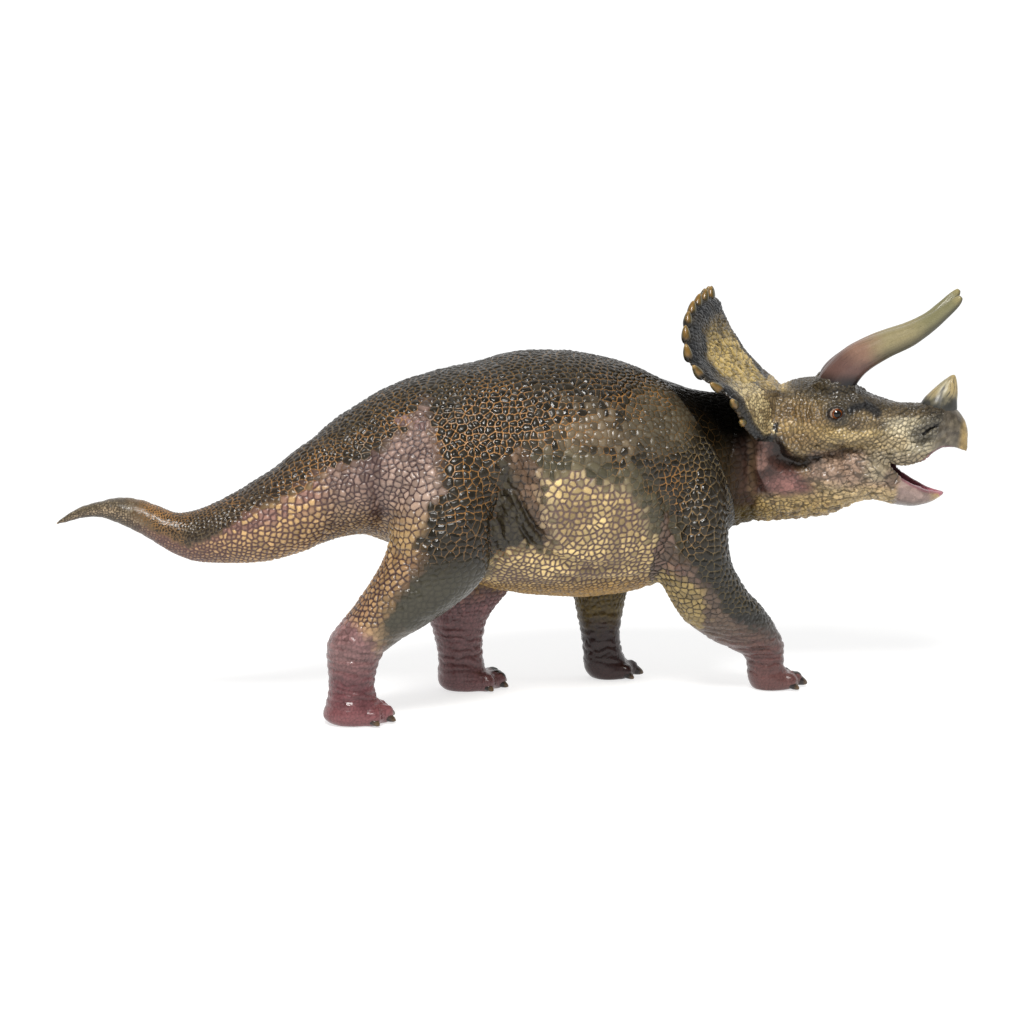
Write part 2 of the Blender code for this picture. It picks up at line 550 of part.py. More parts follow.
pin_hole = put("pin_hole_guide", rod(hp(JAW_X, -PIN_HALF - GAP, JAW_Z), hp(JAW_X, PIN_HALF + GAP, JAW_Z),
                                     PIN_R + GAP, n=16), helper=True)
boolean(skull, pin_hole, 'DIFFERENCE')


def horn_mesh(rows, mirror, grow=0.0, n=14):
    rings = []
    # the left horn sits a little lower and its tip turns up again
    pts = [Vector((r[0], -r[1] if mirror else r[1],
                   r[2] - (1.3 * min(1.0, (126.5 - r[2]) / 9.0) * min(1.0, max(0.0, (r[2] - 97.8) / 5.0))
                           if mirror else 0.0))) for r in rows]
    for i, p in enumerate(pts):
        d = (pts[min(i + 1, len(pts) - 1)] - pts[max(i - 1, 0)]).normalized()
        side = Vector((0, 1, 0))
        side = (side - d * side.dot(d)).normalized()
        up = d.cross(side)
        r = rows[i][3] + grow
        rings.append([HEAD @ q for q in oval(p, side, up, r * 0.92, r, r, 2.0, n)])
    return lofted(rings)


for name, mirror in (("brow_horn_right", False), ("brow_horn_left", True)):
    put(name, horn_mesh(BROW_HORN, mirror), HORN, origin=hp(30.1, 8.6 if mirror else -8.6, 93.8))
    socket = put(f"socket_guide_{name}", horn_mesh([(29.95, -8.55, 93.4, 5.2)] + BROW_HORN[:4], mirror, GAP), helper=True)
    boolean(skull, socket, 'DIFFERENCE')


def nose_mesh(rows, grow=0.0, n=16):
    side = hp(0, 1, 0) - hp(0, 0, 0)
    fwd = hp(1, 0, 0) - hp(0, 0, 0)
    return lofted([oval(hp(x, 0, z), side, fwd, ry + grow, rx + grow, rx + grow, 2.0, n, 0.37)
                   for z, x, rx, ry in rows])


put("nose_horn", nose_mesh(NOSE_HORN), HORN, origin=hp(63.4, 0, 86.6))
nose_socket = put("nose_socket_guide", nose_mesh(
    [(NOSE_HORN[0][0] - GAP,) + NOSE_HORN[0][1:]] + NOSE_HORN[:4], GAP), helper=True)
boolean(skull, nose_socket, 'DIFFERENCE')

for name, s in (("eye_right", -1), ("eye_left", 1)):
    for grow, who in ((0.0, name), (GAP, f"eye_socket_guide_{name}")):
        bm = bmesh.new()
        bmesh.ops.create_uvsphere(bm, u_segments=16, v_segments=10, radius=EYE_R + grow)
        c = hp(EYE_POS[0], s * EYE_POS[1], EYE_POS[2])
        for v in bm.verts:
            v.co += c
        if grow == 0.0:
            put(who, bm, EYE, origin=c)
        else:
            boolean(skull, put(who, bm, helper=True), 'DIFFERENCE')

# ------------------------------------------------------------------ lower jaw
PIVOT = hp(JAW_X, 0, JAW_Z)
jaw_rings = []
for x, top, bottom, half, e in JAW:
    jaw_rings.append(head_ring(x, top, bottom, bottom + (top - bottom) * 0.55, half, e, n=22))
jaw = put("lower_jaw", lofted(jaw_rings), SKIN_JAW, origin=PIVOT)
drum = put("jaw_drum_guide", rod(hp(JAW_X, -30, JAW_Z), hp(JAW_X, 30, JAW_Z), JAW_ARC, n=48), helper=True)
front = put("jaw_front_guide", block((JAW_X - 5, -30, 50), (80, 30, 100), HEAD), helper=True)
boolean(drum, front, 'UNION')
boolean(jaw, drum, 'INTERSECT')
rear = put("jaw_rear_guide", block((-10, -30, 40), (9.2, 30, 100), HEAD), helper=True)
boolean(jaw, rear, 'DIFFERENCE')
# the mouth is hollow between the two branches of the jaw
floor_rows = [(14.0, 90.0, 66.0, 9.4), (24.0, 90.0, 65.4, 9.8), (34.0, 90.0, 65.6, 9.2),
              (44.0, 88.0, 64.6, 7.6), (52.0, 82.0, 63.2, 6.0), (58.0, 76.0, 62.4, 4.2), (61.6, 70.0, 62.4, 2.2)]
trough = put("mouth_trough_guide", lofted(
    [head_ring(x, top, bottom, bottom + 5.0, half, 2.6, n=18) for x, top, bottom, half in floor_rows]), helper=True)
boolean(jaw, trough, 'DIFFERENCE')
jaw_hole = put("jaw_hole_guide", rod(hp(JAW_X, -20, JAW_Z), hp(JAW_X, 20, JAW_Z), PIN_R + GAP, n=16), helper=True)
boolean(jaw, jaw_hole, 'DIFFERENCE')
put("jaw_pin", rod(hp(JAW_X, -PIN_HALF, JAW_Z), hp(JAW_X, PIN_HALF, JAW_Z), PIN_R, n=16), STEEL, origin=PIVOT)

tongue_rings = []
for x, z, half in TONGUE:
    tongue_rings.append(head_ring(x, z + 1.3, z - 0.6, z, half, 2.2, n=14))
put("tongue", lofted(tongue_rings), MOUTH, origin=PIVOT)
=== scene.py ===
"""Looks of the horned dinosaur toy figure: skin with moulded scales, folds,
claws, frill studs, grained horns, eyes and mouth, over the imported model.

Shapes are made in millimetres in the figure's own frame (+X tail to head,
+Y its left, +Z up) and moved to metres when they become objects.
"""
import math

import bmesh
import bpy
import numpy as np
from mathutils import Matrix, Vector
from mathutils.kdtree import KDTree


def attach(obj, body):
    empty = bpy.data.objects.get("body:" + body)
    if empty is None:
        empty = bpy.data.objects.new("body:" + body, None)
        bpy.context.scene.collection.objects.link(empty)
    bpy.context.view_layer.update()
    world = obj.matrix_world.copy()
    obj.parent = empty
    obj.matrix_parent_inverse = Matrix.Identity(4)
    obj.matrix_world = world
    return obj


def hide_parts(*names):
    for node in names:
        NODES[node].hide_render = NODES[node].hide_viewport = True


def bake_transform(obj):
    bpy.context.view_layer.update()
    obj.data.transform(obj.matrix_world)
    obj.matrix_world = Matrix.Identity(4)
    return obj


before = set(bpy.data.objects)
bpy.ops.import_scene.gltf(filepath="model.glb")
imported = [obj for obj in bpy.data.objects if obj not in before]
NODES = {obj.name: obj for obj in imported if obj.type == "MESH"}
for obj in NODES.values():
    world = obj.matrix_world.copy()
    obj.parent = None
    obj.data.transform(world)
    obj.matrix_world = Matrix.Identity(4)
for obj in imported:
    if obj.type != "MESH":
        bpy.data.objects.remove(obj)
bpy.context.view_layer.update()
SCENE = bpy.context.scene.collection

SHIFT = np.array((-1.04, 6.495, 0.0))
BODY_VOXEL = 0.76
HEAD_VOXEL = 0.58

# ------------------------------------------------------------------ tables (mm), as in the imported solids
TRUNK = [
    (-62.0, 0.0, 68.4, 0.0, 0.0, 16.3, 16.4, 16.2, 2.0),
    (-50.0, 0.0, 72.0, 0.0, 0.0, 22.0, 20.8, 18.0, 2.0),
    (-37.0, 0.0, 73.0, 0.0, 0.0, 27.0, 26.2, 24.0, 2.05),
    (-24.0, 0.0, 72.0, 0.0, 0.0, 30.8, 30.9, 30.0, 2.1),
    (-11.0, 0.0, 70.0, 0.0, 0.0, 33.8, 35.2, 34.0, 2.1),
    (2.0, 0.0, 68.0, 0.0, 0.0, 35.6, 39.8, 35.0, 2.1),
    (15.0, 0.0, 67.5, 0.0, 0.0, 36.0, 40.4, 36.0, 2.1),
    (28.0, 0.0, 68.0, 3.0, 0.0, 34.6, 38.3, 36.6, 2.1),
    (40.0, 0.0, 69.5, 10.0, 0.0, 32.0, 35.2, 36.0, 2.05),
    (50.0, 0.0, 72.5, 19.0, 0.0, 28.6, 30.9, 33.0, 2.0),
    (57.3, 0.0, 75.0, 26.1, 0.0, 25.4, 26.8, 27.4, 2.0),
]
NECK = [
    (57.3, 0.0, 75.0, 26.1, 0.0, 25.4, 26.8, 27.4, 2.0),
    (64.6, -0.8, 75.2, 20.0, -8.0, 22.6, 20.8, 25.2, 2.0),
    (72.8, -3.2, 75.0, 12.0, -17.0, 20.2, 18.2, 22.8, 2.0),
    (81.5, -7.2, 74.4, 4.0, -24.0, 18.6, 18.0, 21.4, 2.0),
    (90.5, -11.6, 74.0, 0.0, -26.0, 17.0, 18.6, 20.0, 2.0),
    (98.5, -15.5, 73.6, 0.0, -26.0, 15.0, 18.0, 18.6, 2.0),
]
TAIL = [
    (-62.0, 68.4, 16.3, 16.3), (-68.3, 65.1, 15.0, 15.6), (-74.4, 61.8, 13.6, 14.1),
    (-80.4, 59.2, 12.0, 12.5), (-86.3, 57.4, 10.5, 11.0), (-92.3, 56.0, 9.1, 9.5),
    (-98.1, 54.9, 7.8, 8.0), (-103.9, 55.0, 6.5, 6.6), (-109.6, 57.6, 5.6, 5.9),
    (-115.2, 60.6, 4.8, 5.2), (-120.9, 62.5, 3.9, 4.0), (-126.5, 62.8, 3.0, 2.8),
    (-132.2, 61.5, 2.2, 2.1), (-137.9, 58.7, 1.1, 1.0),
]
TAIL_TIP = (-140.4, 57.4)
LEGS = {
    "hind_leg_right": [
        (0.0, -64.6, -48.4, -20.0, 7.0), (2.0, -66.9, -46.8, -20.0, 8.4),
        (5.0, -66.2, -49.0, -20.0, 8.2), (9.0, -65.2, -51.0, -20.0, 7.3),
        (13.0, -65.0, -51.2, -20.0, 7.0), (18.0, -65.4, -50.0, -20.0, 7.4),
        (22.0, -65.6, -47.5, -20.0, 8.2), (26.0, -64.8, -41.5, -20.2, 9.4),
        (30.0, -61.2, -34.0, -20.6, 10.6), (35.0, -56.8, -26.5, -21.0, 12.2),
        (41.0, -52.6, -19.5, -21.5, 13.4), (48.0, -48.4, -15.5, -22.0, 14.2),
        (56.0, -46.0, -13.5, -22.0, 14.4), (65.0, -45.0, -13.0, -21.0, 14.2),
        (74.0, -42.0, -14.0, -19.0, 13.6), (83.0, -38.0, -17.0, -16.0, 12.4),
        (90.0, -34.0, -22.0, -13.0, 10.0),
    ],
    "hind_leg_left": [
        (0.0, -18.6, -1.6, 15.5, 6.8), (2.0, -20.2, 0.2, 15.5, 8.2),
        (5.0, -20.5, -4.6, 15.5, 7.9), (9.0, -20.3, -5.9, 15.5, 7.1),
        (14.0, -20.9, -6.3, 15.6, 7.0), (18.0, -21.8, -5.8, 15.8, 7.5),
        (22.0, -22.6, -4.7, 16.2, 8.4), (27.0, -24.4, -1.2, 17.0, 9.8),
        (33.0, -27.0, 4.2, 18.2, 11.4), (40.0, -30.0, 7.6, 19.8, 13.0),
        (50.0, -33.0, 6.6, 21.4, 14.0), (62.0, -34.6, 2.6, 21.8, 14.2),
        (74.0, -34.6, -2.4, 19.6, 13.8), (83.0, -33.0, -7.6, 16.2, 12.4),
        (90.0, -30.0, -14.0, 13.0, 10.0),
    ],
    "front_leg_right": [
        (0.0, 75.0, 87.4, -13.5, 6.0), (2.0, 74.0, 89.6, -13.5, 7.0),
        (5.0, 73.2, 86.0, -13.6, 6.5), (8.0, 73.0, 84.6, -13.8, 6.2),
        (11.0, 71.4, 84.4, -14.2, 6.4), (14.0, 65.6, 84.2, -14.8, 7.0),
        (17.0, 59.8, 82.8, -15.6, 7.8), (20.0, 55.6, 80.8, -16.6, 8.6),
        (23.5, 50.6, 78.4, -17.6, 9.4), (28.0, 46.8, 74.2, -18.8, 10.2),
        (33.0, 43.8, 68.8, -19.8, 11.0), (38.0, 41.4, 65.2, -20.6, 11.8),
        (44.0, 39.0, 62.4, -21.2, 12.4), (52.0, 37.6, 61.4, -21.2, 12.8),
        (60.0, 37.6, 61.0, -20.4, 12.8), (68.0, 38.6, 60.4, -18.8, 12.4),
        (76.0, 41.0, 59.0, -16.0, 11.4), (83.0, 45.0, 55.0, -13.0, 9.0),
    ],
    "front_leg_left": [
        (0.0, 31.8, 43.8, 17.5, 5.8), (2.0, 30.0, 45.6, 17.5, 6.8),
        (5.0, 29.1, 43.4, 17.5, 6.4), (9.0, 28.9, 41.6, 17.5, 6.0),
        (15.0, 28.2, 40.8, 17.7, 6.2), (22.0, 26.8, 42.2, 18.2, 7.0),
        (28.0, 26.2, 43.6, 18.9, 8.2), (35.0, 26.0, 46.6, 19.8, 9.8),
        (43.0, 27.0, 51.4, 20.8, 11.4), (52.0, 29.0, 56.0, 21.2, 12.6),
        (62.0, 33.0, 58.6, 20.4, 12.8), (70.0, 37.0, 58.6, 18.4, 12.2),
        (78.0, 42.0, 57.0, 15.4, 10.6), (84.0, 46.0, 54.0, 12.6, 8.4),
    ],
}
HEAD_O = Vector((72.0, -3.0, 0.0))
HEAD_YAW = -26.0
JAW_X, JAW_Z = 27.0, 77.0
JAW_ARC = 23.3
JAW_CLOSE, JAW_OPEN = 10.0, 3.0
EYE_R = 2.7
EYE_POS = (31.8, 13.3, 88.7)
SKULL = [
    (8.3, 93.5, 61.8, 80.0, 17.6, 2.1), (14.0, 96.0, 63.0, 80.0, 18.8, 2.1),
    (19.0, 97.8, 66.4, 80.6, 19.2, 2.1), (24.0, 98.4, 71.6, 81.4, 18.8, 2.2),
    (30.0, 97.8, 74.2, 83.0, 17.2, 2.3), (36.0, 95.8, 75.8, 84.6, 15.2, 2.4),
    (41.0, 93.6, 76.2, 84.8, 13.6, 2.4), (46.0, 92.0, 74.4, 83.6, 12.4, 2.4),
    (51.0, 90.9, 70.2, 82.0, 11.2, 2.7), (56.0, 90.8, 70.2, 81.4, 10.0, 3.0),
    (61.0, 90.8, 72.4, 82.0, 8.6, 2.8), (65.0, 90.4, 76.0, 82.8, 6.8, 2.2),
    (68.9, 89.2, 76.8, 82.8, 4.8, 2.1), (71.5, 86.0, 75.6, 80.8, 2.6, 2.0),
    (72.6, 82.0, 76.0, 79.0, 1.0, 2.0),
]
JAW = [
    (3.0, 76.0, 55.6, 12.2, 2.3), (12.0, 76.6, 54.0, 12.8, 2.3),
    (20.0, 79.0, 54.1, 13.2, 2.3), (27.0, 80.6, 54.9, 13.3, 2.3),
    (32.0, 78.0, 56.6, 12.9, 2.4), (36.5, 77.4, 58.8, 12.3, 2.4),
    (41.0, 77.2, 60.3, 11.4, 2.4), (45.8, 76.0, 60.3, 10.4, 2.4),
    (50.0, 72.0, 59.2, 9.6, 2.3), (54.4, 68.8, 58.7, 8.6, 2.3),
    (58.0, 66.4, 58.8, 7.2, 2.2), (61.4, 64.6, 59.8, 5.4, 2.1),
    (64.0, 63.9, 61.2, 3.4, 2.0), (65.7, 63.6, 62.6, 1.2, 2.0),
]
BROW_HORN = [
    (30.1, -8.6, 93.8, 5.2), (31.7, -9.0, 97.8, 5.6), (35.1, -9.6, 102.6, 5.3),
    (39.8, -10.4, 106.5, 4.7), (46.4, -11.4, 109.9, 4.1), (54.3, -12.8, 113.4, 3.3),
    (60.3, -14.2, 117.4, 2.5), (64.7, -15.4, 121.0, 2.0), (67.7, -16.3, 123.8, 1.5),
    (69.0, -16.8, 125.2, 0.8),
]
NOSE_HORN = [
    (86.6, 63.2, 5.2, 3.8), (89.5, 63.2, 5.8, 4.2), (92.5, 63.9, 5.1, 3.6),
    (95.4, 65.4, 3.7, 2.7), (97.6, 66.5, 2.4, 1.9), (99.2, 67.4, 1.1, 1.0),
]
FRILL_C = (0.0, 97.0)
FRILL_R = (35.8, 26.9, 21.0)
FRILL_FLOOR = 81.5
FRILL_T = 3.0
FRILL_RIDGE = [(78.0, 19.0), (90.0, 18.6), (95.0, 17.4), (97.9, 14.0), (100.9, 8.7),
               (106.3, 3.1), (112.5, -0.4), (118.6, -3.9), (122.6, -6.3), (127.0, -8.8)]
FRILL_SWEEP = 0.48
TONGUE = [(24.0, 66.6, 5.2), (36.0, 66.8, 5.6), (48.0, 65.4, 4.6), (55.0, 64.0, 3.0), (58.5, 63.4, 1.4)]
COLLAR_C = Vector((57.3, 0.0, 75.0))
COLLAR_TILT = 26.1
WALL = 2.4

HEAD = Matrix.Translation(HEAD_O) @ Matrix.Rotation(math.radians(HEAD_YAW), 4, 'Z')
HEAD_M = np.array(HEAD)
HEAD_I = np.array(HEAD.inverted())


# ------------------------------------------------------------------ numbers
def srgb(code, alpha=1.0):
    v = [int(code[i:i + 2], 16) / 255 for i in (1, 3, 5)]
    return np.array([c / 12.92 if c <= 0.04045 else ((c + 0.055) / 1.055) ** 2.4 for c in v])


def ss(a, b, x):
    t = np.clip((x - a) / (b - a), 0.0, 1.0)
    return t * t * (3 - 2 * t)


def mix(a, b, m):
    m = np.asarray(m)
    if np.ndim(a) > 1 or np.ndim(b) > 1 or m.ndim == 1:
        m = m.reshape(-1, 1)
    return a * (1 - m) + b * m


def hash01(i, j=0, k=0, seed=0):
    """Repeatable value from 0 to 1 for whole-number cells."""
    i, j, k = (np.asarray(a).astype(np.int64) & 0xffffffff for a in (i, j, k))
    h = (i * 0x8da6b343 + j * 0xd8163841 + k * 0xcb1ab31f + seed * 0x9e3779b1) & 0xffffffff
    h = ((h ^ (h >> 15)) * 0x2c1b3c6d) & 0xffffffff
    h = ((h ^ (h >> 12)) * 0x297a2d39) & 0xffffffff
    h = h ^ (h >> 15)
    return (h & 0xffffff) / float(0xffffff)


def noise(p, size, seed=0, octaves=1):
    """Smooth noise from -1 to 1 with features of the given size."""
    out = np.zeros(len(p))
    amp, total = 1.0, 0.0
    for o in range(octaves):
        q = p / size * (2 ** o) + 1000.0
        i = np.floor(q)
        f = q - i
        f = f * f * (3 - 2 * f)
        i = i.astype(np.int64)
        r = np.zeros(len(p))
        for c in range(8):
            dx, dy, dz = c & 1, (c >> 1) & 1, c >> 2
            w = (f[:, 0] if dx else 1 - f[:, 0]) * (f[:, 1] if dy else 1 - f[:, 1]) * (f[:, 2] if dz else 1 - f[:, 2])
            r += w * hash01(i[:, 0] + dx, i[:, 1] + dy, i[:, 2] + dz, seed + 17 * o)
        out += amp * (2 * r - 1)
        total += amp
        amp *= 0.5
    return out / total


def catmull(rows, per):
    out = []
    n = len(rows)
    for i in range(n - 1):
        p0, p1, p2, p3 = rows[max(i - 1, 0)], rows[i], rows[i + 1], rows[min(i + 2, n - 1)]
        for k in range(per):
            t = k / per
            out.append(tuple(
                0.5 * (2 * b + (c - a) * t + (2 * a - 5 * b + 4 * c - d) * t * t
                       + (3 * b - a - 3 * c + d) * t ** 3)
                for a, b, c, d in zip(p0, p1, p2, p3)))
    out.append(tuple(rows[-1]))
    return out


def table(pairs, x):
    xs, ys = zip(*pairs)
    return np.interp(x, xs, ys)


def seg_dist(p, pts):
    """Distance of 2-D points to a polyline, and how far along it (0 to 1) the nearest point is."""
    pts = np.asarray(pts, float)
    best = np.full(len(p), 1e9)
    along = np.zeros(len(p))
    lens = np.hypot(*(pts[1:] - pts[:-1]).T)
    run = np.concatenate([[0], np.cumsum(lens)])
    for k in range(len(pts) - 1):
        a, d = pts[k], pts[k + 1] - pts[k]
        t = np.clip(((p - a) @ d) / max(d @ d, 1e-9), 0, 1)
        r = np.hypot(p[:, 0] - a[0] - t * d[0], p[:, 1] - a[1] - t * d[1])
        m = r < best
        best[m] = r[m]
        along[m] = ((run[k] + t * lens[k]) / run[-1])[m]
    return best, along


def poly_sd(p, pts):
    """Signed distance to a closed outline, positive inside."""
    pts = np.asarray(pts, float)
    d, _ = seg_dist(p, np.vstack([pts, pts[:1]]))
    inside = np.zeros(len(p), bool)
    n = len(pts)
    for k in range(n):
        x0, y0 = pts[k]
        x1, y1 = pts[(k + 1) % n]
        if y0 == y1:
            continue
        cross = (y0 > p[:, 1]) != (y1 > p[:, 1])
        xi = (x1 - x0) * (p[:, 1] - y0) / (y1 - y0) + x0
        inside ^= cross & (p[:, 0] < xi)
    return np.where(inside, d, -d)


def stroke(p, pts, width, depth, taper=True, where=None, power=2.0):
    """Ridge (depth above 0) or fold (below 0) that follows a line on the flat view p."""
    out = np.zeros(len(p))
    q = np.asarray(pts, float)
    lo, hi = q[:, :2].min(0) - 3 * width, q[:, :2].max(0) + 3 * width
    m = (p[:, 0] > lo[0]) & (p[:, 0] < hi[0]) & (p[:, 1] > lo[1]) & (p[:, 1] < hi[1])
    if where is not None:
        m &= where
    if not m.any():
        return out
    fine = np.array(catmull([tuple(r) for r in q], 5)) if len(q) > 2 else q
    d, s = seg_dist(p[m], fine)
    amp = np.sin(np.pi * np.clip(s, 0.02, 0.98)) ** 0.6 if taper else 1.0
    out[m] = depth * amp * np.exp(-(d / width) ** power)
    return out


# ------------------------------------------------------------------ meshes
def oval(c, side, up, rs, ru, rd, e=2.0, n=96, turn=0.0):
    a = 2 * np.pi * (np.arange(n) + turn) / n
    ca, sa = np.cos(a), np.sin(a)
    u = np.copysign(np.abs(ca) ** (2 / e), ca)
    w = np.copysign(np.abs(sa) ** (2 / e), sa)
    return (np.asarray(c)[None] + np.asarray(side)[None] * (rs * u)[:, None]
            + np.asarray(up)[None] * (np.where(w > 0, ru, rd) * w)[:, None])


def trunk_ring(row, inset=0.0, push=0.0, n=96):
    x, y, z, lean, head, rs, ru, rd, e = row
    a, h = math.radians(lean), math.radians(head)
    nrm = np.array((math.cos(h) * math.cos(a), math.sin(h) * math.cos(a), math.sin(a)))
    up = np.array((-math.cos(h) * math.sin(a), -math.sin(h) * math.sin(a), math.cos(a)))
    side = np.array((-math.sin(h), math.cos(h), 0))
    return oval(np.array((x, y, z)) + nrm * push, side, up, rs - inset, ru - inset, rd - inset, e, n)


def hp(x, y, z):
    return HEAD @ Vector((x, y, z))


HEAD_SIDE = np.array(hp(0, 1, 0) - hp(0, 0, 0))
HEAD_FWD = np.array(hp(1, 0, 0) - hp(0, 0, 0))
UP = np.array((0.0, 0.0, 1.0))


def head_ring(x, top, bottom, mid, half, e, grow=0.0, n=72):
    return oval(np.array(hp(x, 0, mid)), HEAD_SIDE, UP, half + grow, top - mid + grow, mid - bottom + grow, e, n)


def tail_y(x):
    t = np.maximum(0.0, (-x - 50.0) / 90.0)
    return 22.0 * t * t


def tail_off(x):
    return tail_y(x) - tail_y(-62.0) * np.maximum(0.0, 1 - (-62.0 - x) / 20.0)


def tail_ring(row, inset=0.0, n=64):
    x, z, rs, rz = row
    slope = -2 * 22.0 * max(0.0, -x - 50.0) / 8100.0
    h = math.atan(slope)
    side = np.array((-math.sin(h), math.cos(h), 0))
    return oval(np.array((x, float(tail_off(x)), z)), side, UP, rs - inset, rz - inset, rz - inset, 2.0, n)


def leg_ring(row, grow=0.0, n=56):
    z, xr, xf, yc, ry = row
    rx = (xf - xr) / 2 + grow
    return oval(np.array(((xr + xf) / 2, yc, z)), np.array((0, 1, 0)), np.array((1, 0, 0)), ry + grow, rx, rx, 2.15, n)


def loft(rings):
    """Closed solid through equal rings: points and faces."""
    n = len(rings[0])
    v = np.vstack(rings)
    i = np.arange(n)
    j = (i + 1) % n
    faces = []
    for r in range(len(rings) - 1):
        a, b = r * n, (r + 1) * n
        faces.append(np.stack([a + i, a + j, b + j, b + i], 1))
    quads = np.vstack(faces)
    caps = [list(range(n))[::-1], [len(v) - n + k for k in range(n)]]
    return v, quads.tolist() + caps


def ball(c, r, turn=None, nu=20, nv=12):
    """Ellipsoid with radii r, turned by a 3 x 3 matrix."""
    c, r = np.asarray(c, float), np.asarray(r, float) * np.ones(3)
    t = np.pi * (np.arange(1, nv)) / nv
    a = 2 * np.pi * np.arange(nu) / nu
    pts = np.stack([np.outer(np.sin(t), np.cos(a)), np.outer(np.sin(t), np.sin(a)),
                    np.outer(np.cos(t), np.ones(nu))], 2).reshape(-1, 3)
    pts = np.vstack([pts, [[0, 0, 1], [0, 0, -1]]]) * r
    if turn is not None:
        pts = pts @ np.asarray(turn).T
    faces = []
    for k in range(nv - 2):
        for i in range(nu):
            j = (i + 1) % nu
            faces.append([k * nu + i, (k + 1) * nu + i, (k + 1) * nu + j, k * nu + j])
    top, low = len(pts) - 2, len(pts) - 1
    for i in range(nu):
        j = (i + 1) % nu
        faces.append([top, i, j])
        faces.append([low, (nv - 2) * nu + j, (nv - 2) * nu + i])
    return pts + c, faces


def box_solid(lo, hi, m=None):
    v = np.array([(x, y, z) for x in (lo[0], hi[0]) for y in (lo[1], hi[1]) for z in (lo[2], hi[2])], float)
    if m is not None:
        m = np.array(m)
        v = v @ m[:3, :3].T + m[:3, 3]
    f = [[0, 1, 3, 2], [4, 6, 7, 5], [0, 4, 5, 1], [2, 3, 7, 6], [0, 2, 6, 4], [1, 5, 7, 3]]
    return v, f


def bar(a, b, ra, rb=None, n=48):
    a, b = Vector(a), Vector(b)
    rb = ra if rb is None else rb
    z = (b - a).normalized()
    x = z.orthogonal().normalized()
    y = z.cross(x)
    return loft([oval(np.array(p), np.array(x), np.array(y), r, r, r, 2.0, n) for p, r in ((a, ra), (b, rb))])


def mesh_of(name, *solids):
    """One mesh from several (points, faces) solids."""
    me = bpy.data.meshes.new(name)
    pts, faces, base = [], [], 0
    for v, f in solids:
        pts.append(v)
        faces += [[k + base for k in q] for q in f]
        base += len(v)
    me.from_pydata(np.vstack(pts).tolist(), [], faces)
    me.update()
    fix_normals(me)
    return me


def fix_normals(me):
    import bmesh
    bm = bmesh.new()
    bm.from_mesh(me)
    bmesh.ops.recalc_face_normals(bm, faces=bm.faces)
    bm.to_mesh(me)
    bm.free()


def points(me):
    co = np.empty(len(me.vertices) * 3, np.float32)
    me.vertices.foreach_get("co", co)
    return co.reshape(-1, 3).astype(float)


def set_points(me, co):
    me.vertices.foreach_set("co", co.astype(np.float32).ravel())
    me.update()


def normals(me):
    n = np.empty(len(me.vertices) * 3, np.float32)
    me.vertex_normals.foreach_get("vector", n)
    return n.reshape(-1, 3).astype(float)


def edges(me):
    e = np.empty(len(me.edges) * 2, np.int32)
    me.edges.foreach_get("vertices", e)
    return e.reshape(-1, 2)


def evaluated(me, *mods):
    """Mesh after modifiers, given as (type, settings)."""
    ob = bpy.data.objects.new("work", me)
    SCENE.objects.link(ob)
    for kind, settings in mods:
        m = ob.modifiers.new(kind, kind)
        for k, v in settings.items():
            setattr(m, k, v)
    dg = bpy.context.evaluated_depsgraph_get()
    out = bpy.data.meshes.new_from_object(ob.evaluated_get(dg))
    bpy.data.objects.remove(ob)
    return out


def cut(me, other, how, solver='MANIFOLD'):
    tool = bpy.data.objects.new("tool", other)
    SCENE.objects.link(tool)
    out = evaluated(me, ('BOOLEAN', {"operation": how, "solver": solver, "object": tool}))
    bpy.data.objects.remove(tool)
    return out


def neighbour_mean(co, e, deg):
    out = np.empty_like(co)
    n = len(co)
    for k in range(co.shape[1]):
        out[:, k] = np.bincount(e[:, 0], weights=co[e[:, 1], k], minlength=n) \
            + np.bincount(e[:, 1], weights=co[e[:, 0], k], minlength=n)
    return out / deg[:, None]


def relax(me, rounds, amount=0.5, mask=None):
    co, e = points(me), edges(me)
    deg = np.maximum(1, np.bincount(e.ravel(), minlength=len(co))).astype(float)
    w = amount if mask is None else (amount * mask)[:, None]
    for _ in range(rounds):
        co += (neighbour_mean(co, e, deg) - co) * w
    set_points(me, co)


def fill_creases(me, rounds, amount=0.5):
    """Rounds off hollow corners and leaves the rest of the surface where it is."""
    co, e = points(me), edges(me)
    deg = np.maximum(1, np.bincount(e.ravel(), minlength=len(co))).astype(float)
    for r in range(rounds):
        if r % 8 == 0:
            set_points(me, co)
            nrm = normals(me)
        d = neighbour_mean(co, e, deg) - co
        out = np.einsum('ij,ij->i', d, nrm)
        w = ss(0.01, 0.05, out)
        co += d * (amount * w)[:, None]
    set_points(me, co)


# ------------------------------------------------------------------ scales
def lattice(idx, u, v, size, seed, jitter=0.34, drop=0.05):
    """Picks one mesh point near the middle of each jittered cell of the (u, v) grid."""
    j = np.floor(v)
    u = u + 0.5 * (j % 2) + 0.35 * hash01(j, seed=seed + 3)
    i = np.floor(u)
    du = u - i - 0.5 - jitter * (hash01(i, j, seed=seed) - 0.5) * 2
    dv = v - j - 0.5 - jitter * (hash01(i, j, seed=seed + 1) - 0.5) * 2
    d = du * du + dv * dv
    key = i.astype(np.int64) * 100003 + j.astype(np.int64)
    order = np.lexsort((d, key))
    k = key[order]
    first = np.concatenate([[True], k[1:] != k[:-1]])
    sel = order[first]
    keep = (d[sel] < 0.2) & (hash01(i[sel], j[sel], seed=seed + 2) > drop)
    sel = sel[keep]
    return idx[sel], size[sel]


